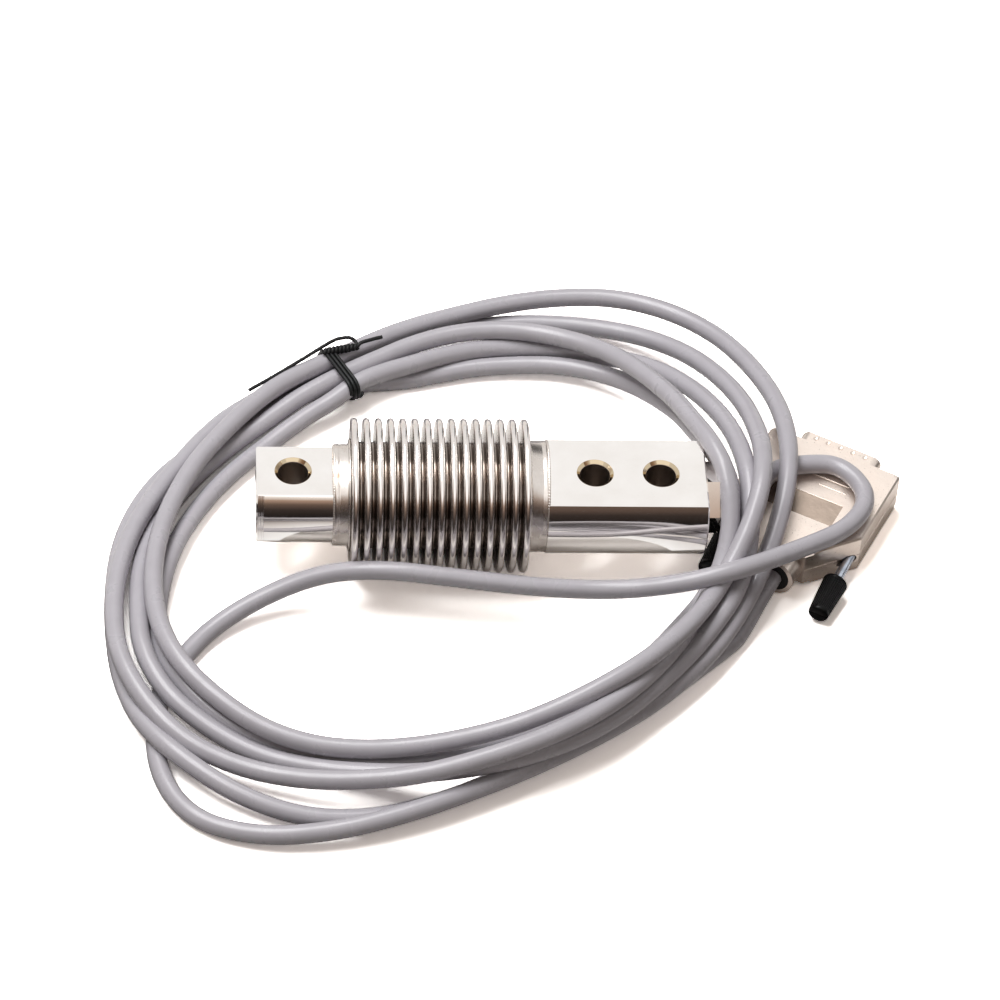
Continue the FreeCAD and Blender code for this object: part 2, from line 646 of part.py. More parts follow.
coil = build_coil()
tail_route = TAIL_BEFORE + (plug_point(BUSH_U, NECK_M - 4.3, 6.1), plug_point(BUSH_U, CABLE_END_M, HOOD_MID))
tail = tube(tail_route, CABLE_R, "tail").cut(coil)
contacts = build_contacts()
rear_shell = dee(REAR_W, REAR_H, REAR_M, 0).cut(dee(REAR_W - 2 * SHELL_T, REAR_H - 2 * SHELL_T, REAR_M, 0))
bush = stadium(ENTRY_HALF_U - RIM_T, HOOD_H - 2 * RIM_T, NECK_M, BUSH_FRONT_M)
save("plug_front_shell", in_plug(build_front_shell()))
save("plug_rear_shell", in_plug(rear_shell))
save("plug_insulator", in_plug(build_insulator(contacts)))
save("plug_contacts", [in_plug(pin) for pin in contacts])
save("plug_wires", [in_plug(wire).cut(tail) for wire in build_plug_wires()])
save("cable_bush", in_plug(bush).cut(tail))
for side, word in ((-1, "left"), (1, "right")):
    shaft, knob = build_thumbscrew(side)
    save("thumbscrew_shaft_" + word, in_plug(shaft))
    save("thumbscrew_knob_" + word, in_plug(knob))

save("cable_coil", coil)
save("cable_lead", tube(LEAD_ROUTE, CABLE_R, "lead").cut(coil))
save("cable_tail", tail)
save("cable_tie", build_tie(coil))
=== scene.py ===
import logging
import math
from collections.abc import Sequence
from dataclasses import dataclass
from enum import Enum

import bmesh
import bpy
from mathutils import Matrix, Vector


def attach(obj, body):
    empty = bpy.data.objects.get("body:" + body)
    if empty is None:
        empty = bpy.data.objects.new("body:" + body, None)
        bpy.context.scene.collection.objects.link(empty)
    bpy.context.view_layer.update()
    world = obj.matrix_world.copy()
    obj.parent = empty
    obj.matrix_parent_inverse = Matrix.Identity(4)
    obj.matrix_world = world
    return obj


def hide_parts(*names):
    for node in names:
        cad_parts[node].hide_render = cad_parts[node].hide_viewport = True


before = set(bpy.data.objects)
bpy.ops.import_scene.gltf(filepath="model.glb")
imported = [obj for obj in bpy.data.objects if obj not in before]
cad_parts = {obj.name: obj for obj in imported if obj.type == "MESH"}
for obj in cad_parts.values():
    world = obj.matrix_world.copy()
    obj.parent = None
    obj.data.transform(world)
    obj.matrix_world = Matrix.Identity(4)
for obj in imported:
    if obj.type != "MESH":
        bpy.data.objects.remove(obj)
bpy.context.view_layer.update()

LOG = logging.getLogger("load_cell")
MM = 0.001
AXIS_Z = 21.0
WHITE = (1.0, 1.0, 1.0, 1.0)

Node, Socket, Tree = bpy.types.Node, bpy.types.NodeSocket, bpy.types.NodeTree
Material, Mesh, Thing = bpy.types.Material, bpy.types.Mesh, bpy.types.Object
Pair = tuple[float, float]
Place = tuple[float, float, float]


class Body(Enum):
    """Rigid bodies of the part."""

    CELL = "cell"
    LEFT_SCREW = "thumbscrew_left"
    RIGHT_SCREW = "thumbscrew_right"


class Slot(Enum):
    """Material slots of the record."""

    STEEL = "steel"
    BELLOWS = "bellows_steel"
    NICKEL = "nickel"
    ZINC = "zinc"
    GOLD = "gold"
    CABLE = "cable"
    PLASTIC = "black_plastic"
    RUBBER = "black_rubber"
    WIRE = "black_wire"
    GAUGE = "gauge"
    BOARD = "board"
    CORE = "core"


def linear(code: str) -> tuple[float, float, float, float]:
    """Turn an sRGB hex colour into linear light.

    Args:
        code: colour such as "#a0b0c0".

    Returns:
        Linear red, green, blue and an alpha of one.
    """
    parts = [int(code[i:i + 2], 16) / 255 for i in (1, 3, 5)]
    light = [p / 12.92 if p <= 0.04045 else ((p + 0.055) / 1.055) ** 2.4 for p in parts]
    return (*light, 1.0)


def give(tree: Tree, node: Node, values: dict) -> None:
    """Set or link inputs of a node.

    Args:
        tree: the node's tree.
        node: the node.
        values: value or output socket for each input, by name or index.
    """
    for key, value in values.items():
        if isinstance(value, Socket):
            tree.links.new(value, node.inputs[key])
        else:
            node.inputs[key].default_value = value


def add(tree: Tree, kind: str, values: dict | None = None, **settings) -> Node:
    """Add one node with its settings and inputs.

    Args:
        tree: node tree that takes the node.
        kind: Blender's name of the node type.
        values: value or output socket for each input, by name or index.
        settings: attributes of the node.

    Returns:
        The new node.
    """
    made = tree.nodes.new(kind)
    for key, value in settings.items():
        setattr(made, key, value)
    give(tree, made, values or {})
    return made


def maths(tree: Tree, operation: str, *values: float | Socket) -> Socket:
    """Add a Math node and return its result."""
    return add(tree, "ShaderNodeMath", dict(enumerate(values)), operation=operation).outputs[0]


def vectors(tree: Tree, operation: str, *values: Sequence[float] | Socket) -> Socket:
    """Add a Vector Math node and return its result, a number for a distance or a length."""
    result = "Value" if operation in ("DISTANCE", "LENGTH") else "Vector"
    return add(tree, "ShaderNodeVectorMath", dict(enumerate(values)), operation=operation).outputs[result]


class Surface:
    """Nodes of one material, with the steps that the finishes share."""

    def __init__(self, name: str) -> None:
        """Start a node material.

        Args:
            name: the material's name.
        """
        self.material = bpy.data.materials.new(name)
        self.material.use_nodes = True
        self.tree = self.material.node_tree
        self.shader = self.tree.nodes["Principled BSDF"]
        self.place = add(self.tree, "ShaderNodeTexCoord").outputs["Object"]

    def give(self, values: dict) -> None:
        """Set or link inputs of the shader."""
        give(self.tree, self.shader, values)

    def axes(self, place: Socket) -> Sequence[Socket]:
        """Split coordinates into X, Y and Z."""
        return add(self.tree, "ShaderNodeSeparateXYZ", {0: place}).outputs

    def near(self, value: Socket, middle_mm: float, half_mm: float) -> Socket:
        """One where a coordinate lies within a range about a middle, else zero."""
        return maths(self.tree, "COMPARE", value, middle_mm * MM, half_mm * MM)

    def gap(self, middle_mm: Sequence[float], counted: Sequence[float] = (1, 1, 1)) -> Socket:
        """Distance from a point, along the counted axes only."""
        place = vectors(self.tree, "MULTIPLY", self.place, counted)
        return vectors(self.tree, "DISTANCE", place, [c * MM for c in middle_mm])

    def cloud(self, size_mm: float, stretch: Sequence[float] = (1.0, 1.0, 1.0)) -> Socket:
        """Noise with blotches of a given size.

        Args:
            size_mm: width of a blotch.
            stretch: how many times longer a blotch is along X, Y and Z.

        Returns:
            A value from about 0.3 to 0.7.
        """
        scale = [1 / (size_mm * MM * s) for s in stretch]
        place = add(self.tree, "ShaderNodeMapping", {"Vector": self.place, "Scale": scale}).outputs[0]
        return add(self.tree, "ShaderNodeTexNoise", {"Vector": place, "Scale": 1.0, "Detail": 3.0}).outputs[0]

    def span(self, value: Socket, low: float, high: float, start: float = 0.3, end: float = 0.7) -> Socket:
        """Spread a value between two limits, low at its start and high at its end."""
        limits = {"Value": value, "From Min": start, "From Max": end, "To Min": low, "To Max": high}
        return add(self.tree, "ShaderNodeMapRange", limits).outputs[0]

    def between(self, value: Socket, first: str | Socket, second: str, start: float = 0.3,
                end: float = 0.7) -> Socket:
        """Blend two colours by a value.

        Args:
            value: what the blend follows.
            first: colour at the start.
            second: colour at the end.
            start: value that gives the first colour.
            end: value that gives the second.

        Returns:
            The blended colour.
        """
        base = linear(first) if isinstance(first, str) else first
        mixed = {0: self.span(value, 0.0, 1.0, start, end), 6: base, 7: linear(second)}
        return add(self.tree, "ShaderNodeMix", mixed, data_type="RGBA").outputs[2]

    def relief(self, height: Socket, depth_mm: float, under: Socket | None = None) -> Socket:
        """Give the surface a fine relief.

        Args:
            height: relief from 0 to 1.
            depth_mm: real height of the relief.
            under: normal of a coarser relief that it lies on.

        Returns:
            The new normal.
        """
        values = {"Height": height, "Distance": depth_mm * MM, "Strength": 1.0}
        if under is not None:
            values["Normal"] = under
        normal = add(self.tree, "ShaderNodeBump", values).outputs[0]
        self.give({"Normal": normal})
        return normal


@dataclass(frozen=True)
class Finish:
    """What a surface is made of and how it was made."""

    name: str
    colour: str
    second: str
    metallic: float = 0.0
    roughness: Pair = (0.35, 0.5)
    mottle_mm: float = 4.0
    grain_mm: float = 0.5
    grain_depth_mm: float = 0.01
    specular: float = 0.5

    def make(self) -> Material:
        """Make the material.

        Returns:
            A new node material.
        """
        on = Surface(self.name)
        on.give({"Metallic": self.metallic, "Specular IOR Level": self.specular})
        self.dress(on)
        return on.material

    def ground(self, on: Surface) -> tuple[Socket, Socket]:
        """Mottled colour and gloss that the finish starts from."""
        cloud = on.cloud(self.mottle_mm)
        return on.between(cloud, self.colour, self.second), on.span(cloud, *self.roughness)

    def dress(self, on: Surface) -> None:
        """Link colour, gloss and relief to the shader.

        Args:
            on: the material's nodes.
        """
        tone, gloss = self.ground(on)
        on.give({"Base Color": tone, "Roughness": gloss})
        on.relief(on.cloud(self.grain_mm), self.grain_depth_mm)


@dataclass(frozen=True)
class PolishedSteel(Finish):
    """Turned and polished stainless bar: a clear mirror, with fine tool lines round it."""

    # Painted shade: each bore is painted darker towards this tone, as the shade inside the hole; it is also
    # made duller.
    bore_shade: str = "#8b7f76"
    chamfer: str = "#c9b79a"
    holes_x: tuple[float, ...] = (-51.25, 30.75, 48.75)
    hole_radius: float = 4.1
    chamfer_edge: Pair = (1.235, 1.225)
    bore_edge: Pair = (1.03, 1.01)
    bore_dull: float = 0.3
    line_stretch: Place = (1.0, 60.0, 60.0)
    ridge_x: float = -60.0
    ridge_half: float = 0.85
    ridge_pitch: float = 0.42
    ridge_depth: float = 0.03
    round_half: float = 9.2

    def dress(self, on: Surface) -> None:
        """Link the mirror's tone, the painted shade inside its drilled holes, its tool lines and the turned
        ridges at the free end.
        """
        tone, gloss = self.ground(on)
        chamfer, bore_shade = ([share * self.hole_radius * MM for share in edge]
                         for edge in (self.chamfer_edge, self.bore_edge))
        for x in self.holes_x:
            gap = on.gap((x, 0, 0), (1, 1, 0))
            tone = on.between(gap, tone, self.chamfer, *chamfer)
            # Painted shade: the bore goes darker here, and the added roughness makes it duller.
            tone = on.between(gap, tone, self.bore_shade, *bore_shade)
            gloss = maths(on.tree, "ADD", gloss, on.span(gap, 0.0, self.bore_dull, *bore_shade))
        on.give({"Base Color": tone, "Roughness": gloss})
        lines = on.relief(on.cloud(self.grain_mm, self.line_stretch), self.grain_depth_mm)
        x, _, z = on.axes(on.place)
        wave = maths(on.tree, "MULTIPLY", x, math.tau / (self.ridge_pitch * MM))
        ridges = maths(on.tree, "SINE", wave)
        for mask in (on.near(x, self.ridge_x, self.ridge_half), on.near(z, AXIS_Z, self.round_half)):
            ridges = maths(on.tree, "MULTIPLY", ridges, mask)
        on.relief(ridges, self.ridge_depth, lines)


@dataclass(frozen=True)
class FormedSteel(Finish):
    """Thin stainless tube rolled into bellows: satin, with faint rings from the rolls and roots painted
    darker as shade.
    """

    # Painted shade: the folds darken towards this tone at the roots, where one fold shades the next.
    root: str = "#968c85"
    root_shade_radius: Pair = (19.2, 15.5)
    ring_stretch: Place = (1.0, 40.0, 40.0)

    def dress(self, on: Surface) -> None:
        """Link the satin tone, the painted shade at the roots and the rolled rings."""
        tone, gloss = self.ground(on)
        # Painted shade, darker from near the crests down to the roots.
        gap = on.gap((0, 0, AXIS_Z), (0, 1, 1))
        tone = on.between(gap, tone, self.root, *(r * MM for r in self.root_shade_radius))
        on.give({"Base Color": tone, "Roughness": gloss})
        on.relief(on.cloud(self.grain_mm, self.ring_stretch), self.grain_depth_mm)


@dataclass(frozen=True)
class WeldedCuff(FormedSteel):
    """Cuff of the bellows: satin steel with straw and red heat colours beside the weld."""

    tint: str = "#cf9c88"
    # Middle and width of each heat mark.
    spots: tuple[tuple[Place, float], ...] = (((-39.5, -4.9, 33.9), 1.3), ((-37.4, -4.4, 34.1), 0.9))
    core: float = 0.3

    def dress(self, on: Surface) -> None:
        """Add the heat colours to the satin steel."""
        super().dress(on)
        tone = self.ground(on)[0]
        for middle, size in self.spots:
            tone = on.between(on.gap(middle), tone, self.tint, size * MM, self.core * size * MM)
        on.give({"Base Color": tone})


@dataclass(frozen=True)
class CastNickel(Finish):
    """Nickel on a die-cast hood: warm satin metal with a pebbled skin and small dark pits."""

    pit: str = "#6e5f52"
    pit_mm: float = 0.45
    pit_limits: Pair = (0.66, 0.74)
    swell_mm: float = 2.5
    swell_depth_mm: float = 0.05
    # Painted shade: the ramp is painted this darker tone, for the dimmer reflection it catches.
    ramp_shade_tone: str = "#796d63"
    # Middle and half size of the ramp, painted darker as shade, along the plug's own axes.
    ramp_shade_box: tuple[Pair, ...] = ((0.0, 10.3), (-21.2, 3.78), (12.0, 0.585))
    plug_turn: float = 29.0
    plug_origin: Pair = (-75.77, -70.29)

    def dress(self, on: Surface) -> None:
        """Link the warm tone, the ramp painted darker as shade, the pits and the pebbled skin."""
        tone, gloss = self.ground(on)
        own = add(on.tree, "ShaderNodeMapping", {
            "Vector": on.place, "Rotation": (0, 0, math.radians(self.plug_turn)),
            "Location": (*(c * MM for c in self.plug_origin), 0)}).outputs[0]
        # Painted shade on the ramp: one inside its box, zero elsewhere.
        ramp_shade_mask = 1.0
        for axis, (middle, half) in zip(on.axes(own), self.ramp_shade_box):
            ramp_shade_mask = maths(on.tree, "MULTIPLY", ramp_shade_mask, on.near(axis, middle, half))
        tone = on.between(ramp_shade_mask, tone, self.ramp_shade_tone, 0.0, 1.0)
        tone = on.between(on.cloud(self.pit_mm), tone, self.pit, *self.pit_limits)
        on.give({"Base Color": tone, "Roughness": gloss})
        waves = on.relief(on.cloud(self.swell_mm), self.swell_depth_mm)
        on.relief(on.cloud(self.grain_mm), self.grain_depth_mm, waves)


@dataclass(frozen=True)
class PaperSweep(Finish):
    """Bright white paper: only close shadows stay on it, and it is white everywhere else."""

    glow: float = 0.06
    boost: float = 3.4
    bounce: float = 0.5

    def dress(self, on: Surface) -> None:
        """Make the paper brighter to the lens than to the things that stand on it."""
        super().dress(on)
        path = add(on.tree, "ShaderNodeLightPath").outputs
        tone = on.shader.inputs["Base Color"].links[0].from_socket
        seen = on.span(path["Is Camera Ray"], 1.0, self.boost, 0.0, 1.0)
        thrown = on.span(path["Is Diffuse Ray"], 1.0, self.bounce, 0.0, 1.0)
        lift = maths(on.tree, "MULTIPLY", seen, thrown)
        lit = add(on.tree, "ShaderNodeVectorMath", {0: tone, "Scale": lift}, operation="SCALE").outputs[0]
        glow = on.span(path["Is Camera Ray"], 0.0, self.glow, 0.0, 1.0)
        on.give({"Base Color": lit, "Emission Strength": glow, "Emission Color": WHITE})


@dataclass(frozen=True)
class EtchedFoil(Finish):
    """Foil strain gauge: bright foil loops on an amber polyimide film."""

    loop_mm: float = 0.5
    # The wave texture's scale for waves one unit long.
    wave_scale: float = 0.314

    def dress(self, on: Surface) -> None:
        """Link the foil's loops to colour and relief."""
        turned = add(on.tree, "ShaderNodeMapping",
                     {"Vector": on.place, "Rotation": (0.0, 0.0, math.radians(90))})
        loops = add(on.tree, "ShaderNodeTexWave", {"Vector": turned.outputs[0],
                                                   "Scale": self.wave_scale / (self.loop_mm * MM)}).outputs[1]
        on.give({"Base Color": on.between(loops, self.colour, self.second),
                 "Roughness": on.span(loops, *self.roughness)})
        on.relief(loops, self.grain_depth_mm)


class Palette:
    """All finishes of the object, one material for each record slot."""

    def __init__(self) -> None:
        """Make the materials."""
        finishes = {
            # A clear mirror that takes the room's white and the dark behind the camera.
            Slot.STEEL: PolishedSteel("polished_stainless_bar", "#f8f4f0", "#f1ece7", 1.0, (0.04, 0.09), 9.0,
                                      0.5, 0.0006),
            # Satin crests that go brown where one fold shades the next.
            Slot.BELLOWS: FormedSteel("rolled_stainless_bellows", "#e8e2de", "#dcd5d0", 1.0, (0.15, 0.22),
                                      7.0, 0.4, 0.0015),
            # Warm, slightly pink satin metal.
            Slot.NICKEL: CastNickel("nickel_plated_die_casting", "#e2d6cc", "#d8cabf", 1.0, (0.3, 0.4), 6.0,
                                    0.5, 0.012),
            # Bluish passivated plating.
            Slot.ZINC: Finish("zinc_plated_steel", "#c6ccd6", "#aab1bd", 1.0, (0.2, 0.34), 2.0, 0.3, 0.004),
            # Thin gold over nickel, a warm soft shine.
            Slot.GOLD: Finish("gold_flashed_brass", "#e2bf6a", "#c99f45", 1.0, (0.18, 0.3), 1.0, 0.3, 0.003),
            # Extruded soft vinyl, grey with a violet cast and a dull sheen.
            Slot.CABLE: Finish("grey_extruded_vinyl", "#b4b1b7", "#adaab0", 0.0, (0.25, 0.34), 6.0, 0.9,
                               0.003),
            # Moulded nylon with a fine spark-eroded skin.
            Slot.PLASTIC: Finish("black_moulded_nylon", "#060606", "#0b0b0b", 0.0, (0.3, 0.45), 2.0, 0.35,
                                 0.02, 0.14),
            # Dull moulded rubber.
            Slot.RUBBER: Finish("black_moulded_rubber", "#090909", "#100f0e", 0.0, (0.5, 0.68), 2.0, 0.4,
                                0.02, 0.25),
            # Polyethylene skin on a tie wire.
            Slot.WIRE: Finish("black_coated_tie_wire", "#080809", "#101011", 0.0, (0.34, 0.5), 1.5, 0.4,
                              0.015, 0.25),
            # Constantan foil on film.
            Slot.GAUGE: EtchedFoil("foil_gauge_on_polyimide", "#b9772c", "#d9cdb8", 0.0, (0.3, 0.5), 1.0,
                                   0.5, 0.01),
            # Solder mask with lighter tracks under it.
            Slot.BOARD: EtchedFoil("green_solder_mask_board", "#1f5a34", "#3f8a52", 0.0, (0.25, 0.4), 1.0,
                                   0.5, 0.01, 0.5, 1.2),
            # Stranded cores in soft coloured sleeves.
            Slot.CORE: Finish("core_wire_insulation", "#d9d6cf", "#b8503c", 0.0, (0.35, 0.5), 3.0, 0.4, 0.01),
        }
        self.materials = {slot: finish.make() for slot, finish in finishes.items()}
        # The weld's heat shows only on the cuffs.
        self.cuff = WeldedCuff("welded_stainless_cuff", "#dfd8d2", "#cdc4bc", 1.0, (0.22, 0.3), 5.0, 0.35,
                               0.0012).make()

    def dress_nodes(self) -> None:
        """Give every CAD node its finish by the slot that it names."""
        for name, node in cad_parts.items():
            for holder in node.material_slots:
                slot = Slot(holder.material.name.split(".")[0])
                holder.material = self.materials[slot]
            LOG.info("finish on %s", name)


def new_thing(name: str, data: bpy.types.ID) -> Thing:
    """Put new data in the scene as an object.

    Args:
        name: the object's name.
        data: mesh, curve, camera or light.

    Returns:
        The object, at the origin.
    """
    thing = bpy.data.objects.new(name, data)
    bpy.context.collection.objects.link(thing)
    return thing


def settled(thing: Thing) -> Mesh:
    """Mesh of an object with its modifiers carried out."""
    return bpy.data.meshes.new_from_object(thing.evaluated_get(bpy.context.evaluated_depsgraph_get()))


def new_piece(name: str, mesh: Mesh, body: Body, material: Material,
              replaced: Sequence[str] = ()) -> Thing:
    """Put a finished mesh in the scene as a piece.

    Args:
        name: the piece's name.
        mesh: its mesh, in its final place.
        body: body that it moves with.
        material: its material.
        replaced: CAD nodes that it stands for.

    Returns:
        The piece.
    """
    piece = new_thing(name, mesh)
    if not mesh.materials:
        mesh.materials.append(material)
    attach(piece, body.value)
    if replaced:
        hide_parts(*replaced)
    LOG.info("piece %s with %d faces", name, len(mesh.polygons))
    return piece


def lathe(profile: Sequence[Pair], sides: int, closed: bool = False) -> bmesh.types.BMesh:
    """Turn a profile about the X axis.

    Args:
        profile: places along X and radii, in millimetres.
        sides: number of steps round the axis.
        closed: whether the last point joins the first.

    Returns:
        The turned surface.
    """
    form = bmesh.new()
    rings = []
    for x, r in profile:
        turns = [math.tau * i / sides for i in range(sides)]
        rings.append([form.verts.new((x * MM, r * math.cos(t) * MM, r * math.sin(t) * MM)) for t in turns])
    for a, b in zip(rings, rings[1:] + rings[:1] if closed else rings[1:]):
        for i in range(sides):
            j = (i + 1) % sides
            form.faces.new((a[i], a[j], b[j], b[i])).smooth = True
    return form


def to_mesh(form: bmesh.types.BMesh, name: str, place: Matrix | None = None) -> Mesh:
    """Turn a bmesh into a mesh with outward faces.

    Args:
        form: the bmesh, which is freed.
        name: name of the mesh.
        place: where it goes.

    Returns:
        The mesh.
    """
    bmesh.ops.remove_doubles(form, verts=form.verts, dist=1e-7)
    bmesh.ops.recalc_face_normals(form, faces=form.faces)
    if place is not None:
        form.transform(place)
    mesh = bpy.data.meshes.new(name)
    form.to_mesh(mesh)
    form.free()
    return mesh


class ShapeTree:
    """A Geometry Nodes tree with named inputs, run once on a mesh."""

    def __init__(self, name: str, **inputs: str) -> None:
        """Start the tree.

        Args:
            name: the tree's name.
            inputs: kind of each named input, such as Float.
        """
        self.tree = bpy.data.node_groups.new(name, "GeometryNodeTree")
        for key, kind in {"Geometry": "Geometry", **inputs, "Finish": "Material"}.items():
            self.tree.interface.new_socket(key, in_out="INPUT", socket_type="NodeSocket" + kind)
        self.tree.interface.new_socket("Geometry", in_out="OUTPUT", socket_type="NodeSocketGeometry")
        self.given = add(self.tree, "NodeGroupInput").outputs

    def add(self, kind: str, values: dict | None = None, **settings) -> Socket:
        """Add one node and return its first output."""
        return add(self.tree, kind, values, **settings).outputs[0]

    def turns(self, count: Socket) -> Socket:
        """Angle of each point where so many points share a full turn."""
        step = maths(self.tree, "DIVIDE", math.tau, count)
        return maths(self.tree, "MULTIPLY", self.add("GeometryNodeInputIndex"), step)

    def copies(self, points: Socket, shape: Socket, **values: Socket) -> Socket:
        """Set copies of a shape on points, with the Rotation or Scale that is given."""
        return self.add("GeometryNodeInstanceOnPoints", {"Points": points, "Instance": shape, **values})

    def tube(self, path: Socket, radius: Socket, sides: int) -> Socket:
        """Draw a closed round bar along a curve."""
        ring = self.add("GeometryNodeCurvePrimitiveCircle", {"Resolution": sides, "Radius": radius})
        return self.add("GeometryNodeCurveToMesh", {"Curve": path, "Profile Curve": ring, "Fill Caps": True})

    def close(self, shape: Socket) -> None:
        """End the tree with plain geometry in one material.

        Args:
            shape: geometry to put out.
        """
        plain = self.add("GeometryNodeRealizeInstances", {0: shape})
        merged = self.add("GeometryNodeMergeByDistance", {"Geometry": plain, "Distance": 1e-6})
        smooth = self.add("GeometryNodeSetShadeSmooth", {0: merged})
        dressed = self.add("GeometryNodeSetMaterial", {"Geometry": smooth, "Material": self.given["Finish"]})
        add(self.tree, "NodeGroupOutput", {0: dressed})

    def run(self, mesh: Mesh, **values: object) -> Mesh:
        """Run the tree on a mesh.

        Args:
            mesh: what the tree starts from.
            values: value of each named input.

        Returns:
            The plain mesh that the tree makes.
        """
        holder = new_thing("shape_holder", mesh)
        modifier = holder.modifiers.new("shape", "NODES")
        modifier.node_group = self.tree
        for item in self.tree.interface.items_tree:
            if item.in_out == "INPUT" and item.name in values:
                modifier[item.identifier] = values[item.name]
        made = settled(holder)
        bpy.data.objects.remove(holder)
        made.name = mesh.name + "_shape"
        return made


@dataclass(frozen=True)
class Card:
    """Dark or white card, bent round the table, that only mirrors see."""

    name: str
    start: float
    end: float
    inner: float
    radius: float
    height: float
    stops: tuple[tuple[float, str], ...]
    glow: float = 1.0
    steps: int = 32
    lift: float = 0.0001

    def build(self) -> Thing:
        """Bend the card round the table.

        Returns:
            The card.
        """
        form = bmesh.new()
        rows = []
        for i in range(self.steps + 1):
            turn = math.radians(self.start + (self.end - self.start) * i / self.steps)
            side = Vector((math.cos(turn), math.sin(turn), 0.0))
            bends = ((self.inner, self.lift), (self.radius, self.lift), (self.radius, self.height))
            rows.append([form.verts.new(side * r + Vector((0, 0, z))) for r, z in bends])
        for a, b in zip(rows, rows[1:]):
            for k in (0, 1):
                form.faces.new((a[k], b[k], b[k + 1], a[k + 1]))
        card = new_thing(self.name, to_mesh(form, self.name))
        card.data.materials.append(self.cloth())
        card.visible_camera = False
        card.visible_diffuse = False
        card.visible_shadow = False
        card.visible_transmission = False
        return card

    def cloth(self) -> Material:
        """Cloth whose tone changes from the card's near edge to its top.

        Returns:
            The card's material.
        """
        on = Surface(self.name + "_cloth")
        out = vectors(on.tree, "LENGTH", vectors(on.tree, "MULTIPLY", on.place, (1, 1, 0)))
        along = maths(on.tree, "ADD", on.axes(on.place)[2], out)
        share = on.span(along, 0.0, 1.0, self.inner, self.radius + self.height)
        ramp = add(on.tree, "ShaderNodeValToRGB", {0: share})
        while len(ramp.color_ramp.elements) < len(self.stops):
            ramp.color_ramp.elements.new(0.5)
        for element, (at, code) in zip(ramp.color_ramp.elements, self.stops):
            element.position = at / (self.radius - self.inner + self.height)
            element.color = linear(code)
        glow = add(on.tree, "ShaderNodeEmission",
                   {"Color": ramp.outputs[0], "Strength": self.glow}).outputs[0]
        give(on.tree, on.tree.nodes["Material Output"], {"Surface": glow})
        return on.material


